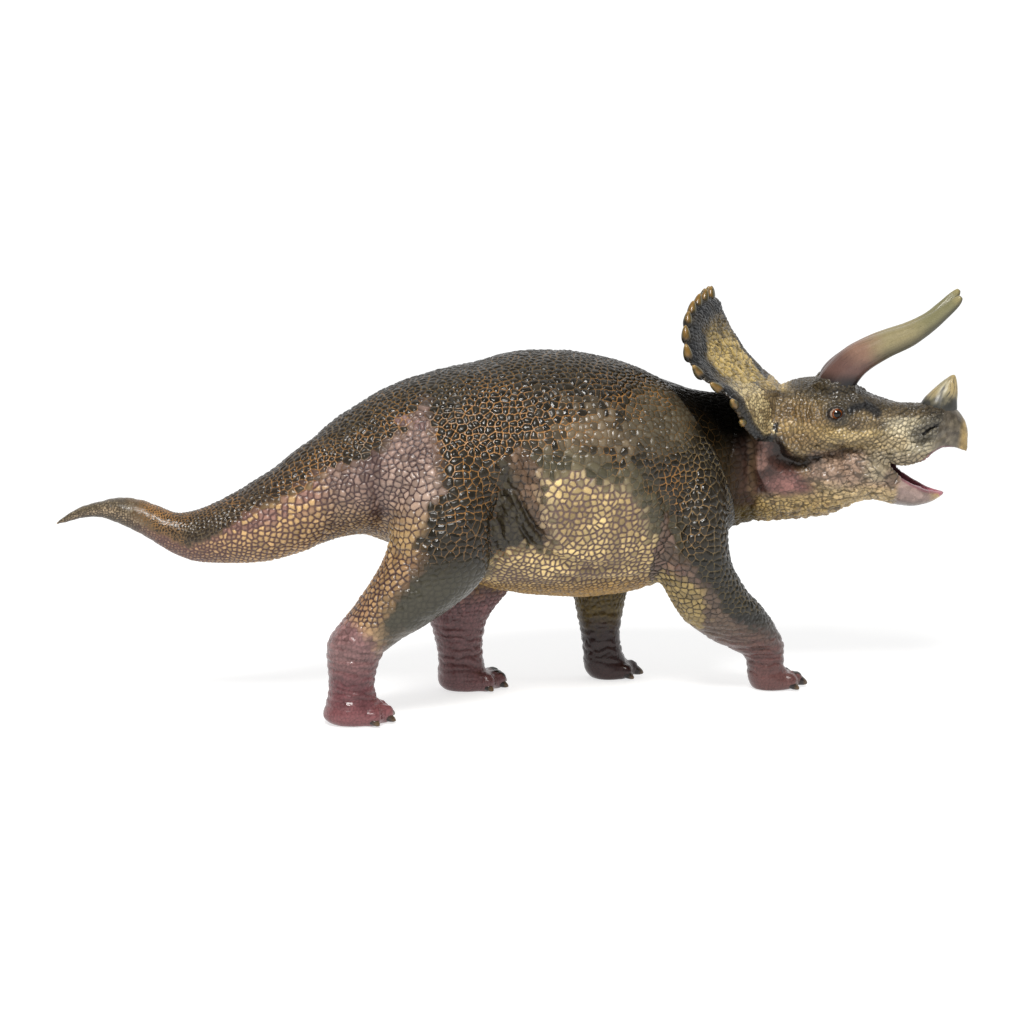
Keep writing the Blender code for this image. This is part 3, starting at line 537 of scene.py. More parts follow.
def scale_field(q, seeds, sizes, near=14):
    """Distance to the border of each point's cell, its cell, and the cell's size."""
    order = np.argsort(seeds, kind='stable')
    seeds, sizes = seeds[order], sizes[order]
    s = q[seeds]
    kd = KDTree(len(s))
    for k, p in enumerate(s.tolist()):
        kd.insert(p, k)
    kd.balance()
    alive = np.ones(len(s), bool)
    for k, p in enumerate(s.tolist()):
        if alive[k]:
            for _, o, d in kd.find_range(p, 0.52 * sizes[k]):
                if o != k:
                    alive[o] = False
    s, sizes, seeds = s[alive], sizes[alive], seeds[alive]
    kd = KDTree(len(s))
    for k, p in enumerate(s.tolist()):
        kd.insert(p, k)
    kd.balance()
    nb = np.empty((len(s), near), np.int64)
    for k, p in enumerate(s.tolist()):
        nb[k] = [f[1] for f in kd.find_n(p, near + 1)][1:]
    find = kd.find
    own = np.array([find(p)[1] for p in q.tolist()])
    e = np.full(len(q), 1e9)
    ds = ((q - s[own]) ** 2).sum(1)
    for k in range(near):
        o = s[nb[own, k]]
        gap = np.sqrt(((o - s[own]) ** 2).sum(1))
        b = (((q - o) ** 2).sum(1) - ds) / (2 * gap)
        np.minimum(e, b, out=e)
    return e, own, sizes[own], seeds


def dome(e, size, depth):
    t = np.clip(e / (0.5 * size), 0, 1)
    return depth * size * (1 - (1 - t) ** 2.6)


def rgb_len(me):
    return me.vertices


def put_attrs(me, cell, line, edge, rough):
    """Stores what the skin material reads."""
    at = me.attributes.get("whole") or me.attributes.new("whole", "FLOAT", "POINT")
    at.data.foreach_set("value", np.ones(len(rgb_len(me)), np.float32))
    for name, rgb, a in (("cell", cell, edge), ("line", line, rough)):
        at = me.attributes.get(name) or me.attributes.new(name, "FLOAT_COLOR", "POINT")
        buf = np.empty((len(rgb), 4), np.float32)
        buf[:, :3] = rgb
        buf[:, 3] = a
        at.data.foreach_set("color", buf.ravel())


def mend_attrs(me):
    """Points made by a cut take the colours of the nearest old point."""
    n = len(me.vertices)
    got = {}
    for name in ("cell", "line"):
        at = me.attributes.get(name)
        buf = np.empty(n * 4, np.float32)
        at.data.foreach_get("color", buf)
        got[name] = buf.reshape(-1, 4)
    whole = np.empty(n, np.float32)
    me.attributes["whole"].data.foreach_get("value", whole)
    bad = (whole < 0.999) | (got["line"].min(1) < 0.0)
    me.attributes.remove(me.attributes["whole"])
    if not bad.any() or bad.all():
        return
    co = points(me)
    good = np.nonzero(~bad)[0]
    kd = KDTree(len(good))
    for k, p in zip(good.tolist(), co[good].tolist()):
        kd.insert(p, k)
    kd.balance()
    src = [kd.find(p)[1] for p in co[bad].tolist()]
    for name, buf in got.items():
        buf[bad] = buf[src]
        me.attributes[name].data.foreach_set("color", buf.ravel())


def to_object(name, me, body, nodes, mat, smooth=True):
    co = (points(me) + SHIFT) * 0.001
    set_points(me, co)
    me.materials.clear()
    me.materials.append(mat)
    if smooth:
        me.shade_smooth()
    ob = bpy.data.objects.new(name, me)
    SCENE.objects.link(ob)
    if body:
        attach(ob, body)
    if nodes:
        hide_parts(*nodes)
    return ob


# ------------------------------------------------------------------ materials
def nodes_of(name):
    m = bpy.data.materials.new(name)
    m.use_nodes = True
    nt = m.node_tree
    nt.nodes.clear()
    out = nt.nodes.new("ShaderNodeOutputMaterial")
    b = nt.nodes.new("ShaderNodeBsdfPrincipled")
    nt.links.new(b.outputs[0], out.inputs[0])
    return m, nt, b


def add(nt, kind, **kw):
    n = nt.nodes.new(kind)
    for k, v in kw.items():
        setattr(n, k, v)
    return n


def noise_tex(nt, coord, scale, detail=2.0, rough=0.5, dist=0.0):
    n = add(nt, "ShaderNodeTexNoise")
    n.inputs["Scale"].default_value = scale
    n.inputs["Detail"].default_value = detail
    n.inputs["Roughness"].default_value = rough
    n.inputs["Distortion"].default_value = dist
    nt.links.new(coord, n.inputs["Vector"])
    return n.outputs["Fac"]


def math_node(nt, op, a, b=None, c=None, clamp=False):
    n = add(nt, "ShaderNodeMath", operation=op, use_clamp=clamp)
    for k, v in enumerate((a, b, c)):
        if v is None:
            continue
        if isinstance(v, (int, float)):
            n.inputs[k].default_value = v
        else:
            nt.links.new(v, n.inputs[k])
    return n.outputs[0]


def mix_rgb(nt, fac, a, b, blend='MIX'):
    n = add(nt, "ShaderNodeMix", data_type='RGBA', blend_type=blend)
    for sock, v in ((n.inputs[0], fac), (n.inputs[6], a), (n.inputs[7], b)):
        if isinstance(v, (int, float)):
            sock.default_value = v
        elif isinstance(v, (tuple, list, np.ndarray)):
            sock.default_value = (*v, 1.0) if len(v) == 3 else tuple(v)
        else:
            nt.links.new(v, sock)
    return n.outputs[2]


def map_range(nt, v, a, b, c=0.0, d=1.0, smooth=False):
    n = add(nt, "ShaderNodeMapRange", interpolation_type='SMOOTHSTEP' if smooth else 'LINEAR')
    nt.links.new(v, n.inputs["Value"])
    n.inputs["From Min"].default_value = a
    n.inputs["From Max"].default_value = b
    n.inputs["To Min"].default_value = c
    n.inputs["To Max"].default_value = d
    return n.outputs["Result"]


def bump(nt, b, height, dist, strength=1.0):
    n = add(nt, "ShaderNodeBump")
    n.inputs["Distance"].default_value = dist
    n.inputs["Strength"].default_value = strength
    nt.links.new(height, n.inputs["Height"])
    nt.links.new(n.outputs[0], b.inputs["Normal"])


def skin_material(name, line_lo=0.03, line_hi=0.2, fine=0.00005, tint=0.22, coat=0.0, spec=0.4):
    """Painted skin: cell colour inside each scale, line colour in the grooves."""
    m, nt, b = nodes_of(name)
    b.inputs["Specular IOR Level"].default_value = spec
    pos = add(nt, "ShaderNodeTexCoord").outputs["Object"]
    cell = add(nt, "ShaderNodeAttribute", attribute_name="cell")
    line = add(nt, "ShaderNodeAttribute", attribute_name="line")
    rag = noise_tex(nt, pos, 1400.0, 2.0)
    edge = math_node(nt, 'ADD', cell.outputs["Alpha"], math_node(nt, 'MULTIPLY_ADD', rag, 0.16, -0.08))
    fac = map_range(nt, edge, line_lo, line_hi, smooth=True)
    col = mix_rgb(nt, fac, line.outputs["Color"], cell.outputs["Color"])
    blot = noise_tex(nt, pos, 420.0, 3.0, 0.6)
    grain = noise_tex(nt, pos, 2600.0, 2.0, 0.6)
    shade = math_node(nt, 'MULTIPLY_ADD', blot, 2 * tint, 1.0 - tint)
    shade = math_node(nt, 'MULTIPLY', shade, map_range(nt, grain, 0.3, 0.7, 0.88, 1.12))
    gray = add(nt, "ShaderNodeCombineColor")
    for k in range(3):
        nt.links.new(shade, gray.inputs[k])
    col = mix_rgb(nt, 1.0, col, gray.outputs[0], 'MULTIPLY')
    nt.links.new(col, b.inputs["Base Color"])
    r = math_node(nt, 'MULTIPLY_ADD', blot, 0.16, -0.08)
    r = math_node(nt, 'ADD', r, line.outputs["Alpha"])
    r = math_node(nt, 'ADD', r, map_range(nt, fac, 0.0, 1.0, 0.12, 0.0))
    nt.links.new(r, b.inputs["Roughness"])
    h = math_node(nt, 'ADD', math_node(nt, 'MULTIPLY', grain, 0.5), math_node(nt, 'MULTIPLY', rag, 0.9))
    bump(nt, b, h, fine, 0.8)
    if coat:
        b.inputs["Coat Weight"].default_value = coat
        b.inputs["Coat Roughness"].default_value = 0.2
    return m


# ------------------------------------------------------------------ where a point lies on body, tail and legs
T_ROWS = np.array(catmull(TRUNK, 6) + catmull(NECK, 4)[1:])
TAIL_ROWS = np.array(catmull(TAIL, 6))[::-1]
LEG_ROWS = {k: np.array(catmull(v, 4)) for k, v in LEGS.items()}


def trunk_coords(p):
    """Ring position along the body, angle from the spine (0) to the belly (pi), and 1.0 on the surface."""
    xs = T_ROWS[:, 0]
    xe = p[:, 0].copy()
    for _ in range(4):
        lean = np.radians(np.interp(xe, xs, T_ROWS[:, 3]))
        zc = np.interp(xe, xs, T_ROWS[:, 2])
        xe = p[:, 0] + np.clip((p[:, 2] - zc), -40, 40) * np.tan(lean)
    yc = np.interp(xe, xs, T_ROWS[:, 1])
    rs, ru, rd = (np.interp(xe, xs, T_ROWS[:, k]) for k in (5, 6, 7))
    w = (p[:, 2] - zc) / np.cos(lean)
    a = np.abs(p[:, 1] - yc) / rs
    b = w / np.where(w > 0, ru, rd)
    return xe, np.arctan2(a, b), np.hypot(a, b)


def tail_coords(p):
    xs = TAIL_ROWS[:, 0]
    zc, rs, rz = (np.interp(p[:, 0], xs, TAIL_ROWS[:, k]) for k in (1, 2, 3))
    y = p[:, 1] - tail_off(p[:, 0])
    return np.arctan2(y / rs, (p[:, 2] - zc) / rz), rz, (p[:, 2] - zc) / rz


def leg_coords(p, leg):
    t = LEG_ROWS[leg]
    xr, xf, yc, ry = (np.interp(p[:, 2], t[:, 0], t[:, k]) for k in (1, 2, 3, 4))
    xm, rx = (xr + xf) / 2, (xf - xr) / 2
    side = -1.0 if leg.endswith("right") else 1.0
    a, b = (p[:, 0] - xm) / rx, (p[:, 1] - yc) / ry * side
    return np.arctan2(b, a), (np.abs(a) ** 2.15 + np.abs(b) ** 2.15) ** (1 / 2.15), (rx + ry) / 2, a


def foot_solids(leg):
    """Toes that swell out of the foot."""
    rows = LEGS[leg]
    _, xr, xf, yc, ry = rows[1]
    cx, rx = (xr + xf) / 2, (xf - xr) / 2
    out = []
    hind = leg.startswith("hind")
    for k, a in enumerate((-68, -24, 22, 66) if hind else (-60, -14, 34)):
        a = math.radians(a)
        c = (cx + rx * 0.84 * math.cos(a), yc + ry * 0.84 * math.sin(a), 2.9)
        turn = np.array(Matrix.Rotation(a, 3, 'Z'))
        out.append(ball(c, (3.3, 2.9, 3.2) if hind else (3.0, 2.5, 2.7), turn))
    return out


def body_mesh():
    rings = [trunk_ring(r) for r in catmull(TRUNK, 6)] + [trunk_ring(r) for r in catmull(NECK, 4)[1:9]]
    solids = [loft(rings)]
    t = [trunk_ring(TRUNK[0], 1.6, 3.0, 64)] + [tail_ring(r) for r in catmull(TAIL, 6)]
    tip = np.array((TAIL_TIP[0], float(tail_off(np.float64(TAIL_TIP[0]))), TAIL_TIP[1]))
    t.append(tip + (t[-1] - tip) * 0.3)
    solids.append(loft(t))
    for leg, rows in LEGS.items():
        solids.append(loft([leg_ring(r) for r in catmull(rows, 5)]))
        solids += foot_solids(leg)
    me = mesh_of("body_base", *solids)
    return evaluated(me, ('REMESH', {"mode": 'VOXEL', "voxel_size": BODY_VOXEL}))


RIGHT_FOLDS = [
    # crease in front of the thigh and the stretched folds beside it
    ([(-15.3, 75.0), (-14.6, 70.9), (-15.4, 65.5), (-16.4, 59.9), (-16.6, 54.6), (-14.8, 46.0)], 2.2, -2.6),
    ([(-13.3, 83.4), (-8.0, 77.1), (-4.9, 72.8), (-2.8, 67.4), (0.1, 60.8)], 0.9, -1.0),
    ([(-11.0, 79.3), (-7.0, 72.9), (-4.4, 66.9), (-1.6, 61.9), (3.2, 56.2)], 0.9, -1.1),
    ([(-13.4, 73.0), (-10.2, 67.6), (-6.9, 61.0), (-2.7, 56.3), (4.1, 50.3)], 1.1, -1.5),
    ([(-15.0, 70.9), (-12.2, 63.8), (-8.6, 57.6), (-5.0, 53.0), (2.4, 48.0), (10.7, 45.2)], 1.2, -1.6),
    ([(-9.2, 74.0), (-6.6, 67.6), (-3.6, 61.0), (1.0, 55.0)], 0.8, 0.7),
    ([(-12.4, 70.0), (-9.6, 62.0), (-6.0, 56.0), (0.0, 51.0)], 0.8, 0.7),
    # belly folds
    ([(-7.3, 55.3), (1.6, 49.2), (10.4, 46.4), (22.3, 45.1), (34.3, 46.5)], 1.0, -1.0),
    ([(-13.9, 51.8), (-6.5, 50.0), (2.8, 46.2), (14.0, 43.7), (25.8, 43.5), (36, 44.4)], 1.1, -1.3),
    ([(-4.0, 46.4), (8.0, 41.6), (22.0, 39.6), (36.0, 40.6)], 0.9, -0.8),
    # between tail and thigh, and behind the knee
    ([(-51.4, 86.0), (-51.8, 78.1), (-50.4, 69.1), (-47.8, 60.0), (-46.8, 53.0)], 1.7, -1.5),
    ([(-48.0, 52.0), (-45.0, 50.9), (-42.4, 48.3), (-40.8, 45.0)], 1.1, -1.2),
    # rear edge of the shoulder and folds of the arm pit
    ([(31.3, 81.7), (28.6, 77.0), (31.0, 71.3), (36.8, 65.3), (40.6, 58.2), (41.6, 49.0), (41.5, 41.0)], 2.2, -1.1),
    ([(30.4, 62), (29.6, 54), (32.4, 45), (37, 38.4)], 0.9, -0.45),
    ([(36.6, 36.6), (40.2, 33.8), (44.0, 31.6)], 0.8, -0.5),
    # elbow
    ([(41.6, 36.6), (46.4, 33.0), (52.6, 30.0), (57.0, 30.6)], 0.9, -0.6),
    ([(44.0, 40.4), (49.0, 37.0), (54.4, 35.4)], 0.8, -0.35),
    ([(57, 36.5), (61.4, 34.0), (66.4, 31.4)], 0.9, -0.35),
    # shoulder muscles
    ([(40, 80), (47, 70), (51, 58), (53, 44)], 6.0, 0.9),
    ([(60.8, 66), (59.4, 56), (60.4, 46)], 1.6, -0.6),
    # thigh: rear edge, muscle, knee
    ([(-33.2, 93.9), (-33.9, 85), (-33.8, 75), (-36.0, 66), (-39.0, 56.6), (-42.0, 48)], 1.7, -0.9),
    ([(-27, 84), (-25, 70), (-27, 55)], 7.0, 1.0),
    ([(-30.5, 56), (-36, 48.0), (-43, 42.0)], 2.2, -0.5),
    ([(-47.8, 46.4), (-43.4, 42.6), (-38.2, 40.4)], 0.9, -0.4),
    ([(-51.9, 40.6), (-47.4, 37.6), (-42.2, 36.2)], 0.9, -0.4),
    ([(-30.6, 33.8), (-36.4, 31.8), (-42.6, 32.2)], 0.9, -0.4),
    ([(-60.6, 27.6), (-54.4, 25.4), (-47.0, 25.8)], 0.9, -0.5),
    ([(-64.4, 21.4), (-58.4, 20.0), (-51.0, 20.6)], 0.8, -0.45),
    ([(-64.0, 13.0), (-58.4, 11.2), (-52.0, 12.0)], 0.8, -0.5),
    ([(-64.0, 9.2), (-58.0, 7.6), (-52.0, 8.4)], 0.8, -0.45),
    # wrist
    ([(71.4, 12.6), (76.4, 11.0), (83.4, 11.6)], 0.8, -0.45),
    ([(66.4, 15.4), (73.4, 14.4), (83.0, 15.6)], 0.8, -0.4),
    ([(61.0, 19.6), (69.0, 19.0), (78.0, 20.6)], 0.8, -0.3),
]
LEFT_FOLDS = [
    ([(-5.4, 76.2), (-2.5, 67.2), (2.4, 57.8), (8.2, 51.2), (14.9, 45.8)], 1.5, -1.0),
    ([(-2.6, 58), (3.6, 50), (11.0, 44.6)], 0.9, -0.6),
    ([(-2.0, 43), (9.5, 37.4), (20.6, 35.4), (29.5, 36.5)], 1.1, -0.6),
    ([(31.6, 74), (29.5, 65.1), (27.5, 55.8), (26.0, 46.9)], 1.6, -0.9),
    ([(-33.2, 88), (-35.2, 78), (-36.0, 66), (-34.3, 54)], 1.7, -0.6),
    ([(-20, 84), (-16, 70), (-14, 55)], 7.0, 0.9),
    ([(-28.0, 33.6), (-18.4, 31.0), (-4.0, 32.0)], 0.9, -0.5),
    ([(-24.4, 25.4), (-14.4, 23.6), (-2.0, 25.0)], 0.9, -0.45),
    ([(-21.4, 13.0), (-13.4, 11.4), (-5.0, 12.4)], 0.8, -0.5),
    ([(-20.4, 9.0), (-13.4, 7.8), (-5.0, 8.6)], 0.8, -0.45),
    ([(38, 80), (42, 70), (44, 58), (42, 44)], 6.0, 0.8),
    ([(27.0, 30.0), (35.0, 28.0), (45.0, 30.0)], 0.9, -0.45),
    ([(28.4, 12.0), (35.0, 10.4), (41.0, 11.4)], 0.8, -0.4),
    ([(28.4, 18.0), (35.0, 16.8), (42.0, 18.0)], 0.8, -0.35),
]


def sculpt_body(me):
    co, nrm = points(me), normals(me)
    flat = co[:, [0, 2]]
    d = np.zeros(len(co))
    outer = (np.abs(nrm[:, 1]) > 0.1)
    for folds, s in ((RIGHT_FOLDS, -1), (LEFT_FOLDS, 1)):
        where = (co[:, 1] * s > 3) & (nrm[:, 1] * s > 0.12)
        for pts, w, depth in folds:
            d += stroke(flat, pts, w, depth, where=where)
    # uneven flesh, and folds round ankles and tail tip
    big = ss(12, 30, co[:, 2])
    d += noise(co, 11.0, 5, 2) * 0.45 * big
    d += noise(co * np.array((1.0, 1.0, 0.45)), 3.4, 9) * 0.16 * big
    low = ss(32, 20, co[:, 2]) * ss(2.5, 6, co[:, 2])
    wave = co + 1.6 * np.stack([noise(co, 6, 21), noise(co, 6, 22), noise(co, 5, 23)], 1)
    ring = np.abs(np.sin(wave[:, 2] * 1.15 + 1.4 * noise(co, 8, 31)))
    d -= low * 0.42 * np.exp(-(ring / 0.42) ** 2)
    tip = ss(-104, -112, co[:, 0])
    ring = np.abs(np.sin(wave[:, 0] * 0.9))
    d -= tip * 0.16 * np.exp(-(ring / 0.4) ** 2) * ss(-138, -126, co[:, 0])
    sole = ss(0.2, 2.5, co[:, 2])
    set_points(me, co + nrm * (d * sole)[:, None])


# right side of the body: outline of the gold flank patch with the belly below it
def ripple(p, s, wave, seed, warp=0.5):
    """Folds across the direction in which s grows: 0 in the crease, 1 on the ridge."""
    t = s / wave + warp * noise(p, 3.2, seed) + 0.22 * noise(p, 1.3, seed + 1)
    return np.abs(np.sin(np.pi * t))


GOLD_PATCH = [(-2.9, 73.4), (5.0, 75.5), (13.8, 72.6), (24.3, 68.6), (30.0, 62.0), (33.6, 55.0), (35.5, 47.9),
              (38.5, 41.6), (44.0, 36.8), (50.0, 30.0), (50.0, 20.0), (-40.0, 20.0), (-40.0, 38.0), (-18.0, 41.0),
              (-14.0, 50.4), (-6.0, 53.2), (0.5, 50.5), (0.9, 55.3), (-1.3, 61.8), (-2.9, 68.5)]
STRANDS = [(-16.5, 78.0), (-9.5, 82.0), (-4.0, 77.0), (-2.9, 73.4), (-2.9, 68.5), (-1.3, 61.8), (0.9, 55.3), (0.5, 50.5),
           (-6.0, 53.2), (-14.0, 50.4), (-18.0, 52.0), (-17.5, 60.0), (-16.0, 66.0), (-15.5, 71.0)]
FRONT_LIMIT = ([34.8, 39.6, 42.3, 46.3, 51.4, 56.9, 62.8, 69.7, 76.9, 81.3], [67.9, 58.0, 47.4, 43.0, 37.1, 30.9, 24.4, 20.9, 18.2, 16.2])
ELBOW = [(39.0, 41.0), (43.4, 40.0), (47.1, 38.3), (51.5, 31.0), (54.0, 25.2), (51.0, 19.0), (40.0, 28.0)]


def paint_body(p, nrm, own, hr):
    """Zone colours. p: points, hr: value 0 to 1 of the scale that the point is in."""
    x, y, z = p.T
    side = np.where(y < 0, -1, 1)
    n1, n2, n3 = noise(p, 7.0, 41, 2), noise(p, 2.6, 42, 2), noise(p, 14.0, 43, 2)
    wob = 1.6 * n1 + 1.1 * n2 + 3.0 * (hr - 0.5)
    # the left legs stand elsewhere than the right ones, so the flank's marks shift with them
    fx = np.where(y < 0, x, np.where(x < 15, x - 10, x + 2))
    flat = np.stack([fx, z], 1)
    xe, th, ft = trunk_coords(p)
    tth, tr, tz = tail_coords(p)

    dark = srgb("#1b160c")
    black = srgb("#0e0c0a")
    brown = srgb("#2c2117")
    olive = srgb("#4f4a38")
    gold = srgb("#c2a974")
    mauve = srgb("#7d675d")
    tan = srgb("#957a52")
    plum, plum2 = srgb("#74484a"), srgb("#5c383b")
    l_plum = srgb("#3c292a")
    l_dark = srgb("#2a2019")

    n = len(p)
    tile = lambda c: np.tile(srgb(c), (n, 1))
    flank = ss(2.3, 1.5, th)
    cell = np.tile(dark, (n, 1))
    # lighter, browner scales along the middle of the back
    mid = np.exp(-((x - 14) / 17) ** 2 - ((z - 85) / 9) ** 2)
    cell = mix(cell, srgb("#6a5c48"), 0.75 * ss(0.25, 1.0, mid + 0.3 * n1 + 0.5 * (hr - 0.5)))
    line = mix(tile("#9c6f3a"), srgb("#5d4a30"), ss(-0.35, 0.4, n3 + 0.5 * n2))
    line = mix(line, srgb("#5f4712"), ss(0.8, 0.3, th) * 0.75)
    cell = mix(cell, srgb("#161003"), ss(0.9, 0.4, th) * 0.7)
    line = mix(line, srgb("#4c4535"), ss(-16, -26, x) * ss(66, 58, z) * 0.5)
    rough = np.full(n, 0.27) + 0.14 * (hr - 0.5)

    # back: browner towards the tail and the spine
    cell = mix(cell, brown, 0.75 * ss(-30, -90, x + 8 * n3))
    # olive smear round the gold patch
    sd = poly_sd(flat, GOLD_PATCH) + wob
    m_ol = ss(-11, -1, sd) * ss(92, 80, z + 3 * n1) * ss(-14, -4, x + 3 * n1)
    cell = mix(cell, olive, 0.75 * m_ol)
    line = mix(line, srgb("#6a5f45"), 0.75 * m_ol)
    rough = rough + 0.06 * m_ol
    # stretched folds in front of the thigh; their dark olive colour and near-black grooves are painted shade in the
    # hollow there
    m_s = ss(-1.5, 1.5, poly_sd(flat, STRANDS) + 0.5 * wob) * (ft < 1.35)
    split = np.interp(z, [50, 56, 62, 67, 73, 79], [2, -2, -6, -9, -11, -13])
    cell = mix(cell, mix(tile("#332d20"), srgb("#65503f"), ss(-1.5, 3.5, x - split + 2 * n1)), m_s)
    line = mix(line, srgb("#201915"), m_s)
    # gold flank and belly
    m_g = ss(-1.6, 2.2, sd) * (ft < 1.3)
    gcol = mix(np.tile(gold, (n, 1)), srgb("#8b7650"), ss(-0.4, 0.6, n1))
    gcol = mix(gcol, srgb("#938770"), ss(4, 0.5, sd) * ss(48, 56, z) * 0.5)
    gcol = mix(gcol, srgb("#86652c"), ss(42, 37, z + 0.4 * wob) * 0.9)
    cell = mix(cell, gcol, m_g)
    line = mix(line, mix(tile("#5f4c48"), srgb("#4a3521"), ss(42, 37, z)), m_g)
    rough = rough + 0.08 * m_g
    # tail: gold below, a mauve band between
    tail = ss(-58, -64, x)
    mid_t = np.interp(x, [-112, -103.6, -94.3, -86.8, -76.6, -66.2], [-0.45, -0.3, 0.1, 0.42, 0.52, 0.42])
    low_t = ss(0.14, -0.1, tz - mid_t + 0.09 * n1 + 0.05 * n2 + 0.2 * (hr - 0.5)) * tail
    under = ss(0.25, -0.1, hr - 0.55 + 0.35 * n2) * ss(-0.5, 0.2, tz)
    tcol = mix(tile("#b4955c"), srgb("#8d6a5e"), np.maximum(under, 0.35))
    tcol = mix(tcol, srgb("#a5855a"), ss(-0.5, -0.8, tz + 0.1 * n1))
    tcol = mix(tcol, srgb("#7b5a50"), ss(-88, -104, x + 3 * n1) * 0.6)
    cell = mix(cell, tcol, low_t)
    line = mix(line, srgb("#523835"), low_t)
    # rump behind the thigh
    lim = np.interp(x, [-70, -65.5, -58.7, -51.8, -44, -34, -30], [74.8, 75.2, 76.4, 79.6, 86, 95.5, 97])
    back_lim = np.interp(z, [20, 22.5, 26.9, 31.5, 37.4, 42.8, 46, 49.1, 53.6, 58.2, 66.6, 71.7, 79.6, 88, 92, 96],
                         [-50, -51.6, -53.7, -55.1, -51.9, -47.6, -43.5, -41, -41.2, -39.9, -36.6, -33.6, -34, -33.7, -34, -32])
    back_lim = np.where(y < 0, back_lim, back_lim - 1)
    m_r = ss(1.6, -1.6, z - lim + wob) * ss(1.5, -1.5, x - back_lim + wob) * ss(-70, -60, x) * ss(36, 44, z + 2 * n1)
    rcol = mix(np.tile(mauve, (n, 1)), tan, ss(74, 52, z + 4 * n1))
    # painted shade: a dark purple-brown band in the crease between tail and thigh
    rcol = mix(rcol, srgb("#54413d"), ss(5.0, 1.0, np.abs(x - np.interp(z, [52, 60, 69, 78, 86], [-47, -48, -50.4, -51.8, -51.4])) + n1) * ss(58, 64, z) * 0.8)
    # painted highlight: a lighter round patch on the bulge of the rump
    rcol = mix(rcol, srgb("#9c8678"), ss(4.5, 1.0, np.hypot((x + 40.5) / 1.6, z - 71) / 2.2 + 0.5 * n1) * 0.6)
    cell = mix(cell, rcol, m_r)
    line = mix(line, l_plum, m_r)
    # two big smooth mauve scales over the hip
    spot = np.minimum(np.hypot((x + 41.4) / 2.4, (z - 90.1) / 1.5), np.hypot((x + 36.8) / 1.8, (z - 89.5) / 1.3))
    m = ss(1.15, 0.9, spot) * (y < 0)
    cell = mix(cell, srgb("#6b5450"), m)
    m_k = np.zeros(n)
    broad = np.maximum(0.5 * m_r, low_t)
    # legs
    for leg in LEGS:
        s = -1 if leg.endswith("right") else 1
        _, f, _, a = leg_coords(p, leg)
        on = (y * s > 0) & (f < 1.35) & (z < 62)
        if leg.startswith("hind"):
            on &= x < (5 if s < 0 else 12)
        else:
            on &= x > (30 if s < 0 else 20)
        on = on.astype(float)
        if leg == "hind_leg_right":
            t1 = ss(54, 50, z + wob) * ss(4.0, -3.5, x - back_lim - 3.2 * ss(50, 42, z) + wob) * on      # tan calf
            c1 = mix(tile("#957b5c"), srgb("#7c6052"), ss(-0.2, 0.5, n1))
            c1 = mix(c1, srgb("#9a7440"), ss(-0.2, -0.9, a) * 0.4)
            cell = mix(cell, c1, t1)
            line = mix(line, l_plum, t1)
            broad = np.maximum(broad, t1)
            # smooth dark front of the knee
            m_k = ss(53, 42, z + 0.5 * wob) * (1 - t1) * on * ss(-12.5, -16.5, x)
            kc = mix(tile("#3b382d"), srgb("#655a4c"), ss(32, 22, z + wob) * 0.8)
            cell = mix(cell, kc, m_k)
            line = mix(line, srgb("#57503c"), m_k)
            t2 = ss(4.5, -4.5, z - np.interp(x, [-62, -57, -52, -46], [36, 30, 23, 19]) + wob) * on
        elif leg == "hind_leg_left":
            # painted shade: the far (left) hind leg is coloured darker than the near one
            t1 = ss(60, 48, z + wob) * on
            cell = mix(cell, srgb("#54400f"), t1)
            line = mix(line, l_plum, t1)
            t2 = ss(38, 27, z + wob) * on
        elif leg == "front_leg_right":
            t1 = ss(1.6, -1.6, z - np.interp(x, *FRONT_LIMIT) + wob) * on
            c1 = mix(tile("#5a4a3e"), srgb("#634d44"), ss(-0.2, 0.5, n1))
            c1 = mix(c1, srgb("#8a774c"), ss(-1.5, 1.5, poly_sd(np.stack([x, z], 1), ELBOW) + wob))
            dk = mix(tile("#1d1b15"), srgb("#3a332a"), ss(26, 19, z))
            cell = mix(mix(cell, dk, on * ss(52, 44, z)), c1, t1)
            line = mix(mix(line, srgb("#5c4f33"), on * ss(52, 44, z)), l_dark, t1)
            t2 = ss(24, 11, z - 0.5 * a + wob) * on
        else:
            # painted shade: dark gold-brown on the far (left) front leg
            t1 = ss(60, 46, z + wob) * on
            cell = mix(cell, srgb("#4d3e12"), t1)
            line = mix(line, l_dark, t1)
            t2 = ss(24, 15, z + wob) * on
        pc = mix(np.tile(plum, (n, 1)), plum2, ss(-0.3, 0.7, n1))
        if leg == "hind_leg_right":
            pc = mix(pc, srgb("#7d5f5d"), ss(12, 22, z + n1) * 0.8)
        elif leg == "hind_leg_left":
            # painted shade: darker plum on the far hind leg
            pc = mix(pc, srgb("#5f4444"), 0.6)
        elif leg == "front_leg_right":
            pc = mix(pc, srgb("#543a35"), 0.75)
        else:
            # painted shade: almost black on the lower part of the far front leg
            pc = mix(pc, srgb("#1a0f0c"), 0.88)
        cell = mix(cell, pc, t2)
        line = mix(line, pc * 0.42, t2)
    # almost black where the body runs into the neck: painted shadow under the frill, which also darkens the lines there
    # and just behind the neck seam
    neck_shadow = ss(50, 60, xe + 2 * n1) * ss(2.2, 1.5, th)
    cell = mix(cell, black, 0.8 * neck_shadow)
    ahead = (p - np.array(tuple(COLLAR_C))) @ np.array((math.cos(math.radians(COLLAR_TILT)), 0.0, math.sin(math.radians(COLLAR_TILT))))
    line = mix(line, srgb("#2e2619"), np.maximum(0.6 * neck_shadow, ss(-7, 0, ahead + wob) * (z > 44) * 0.85))
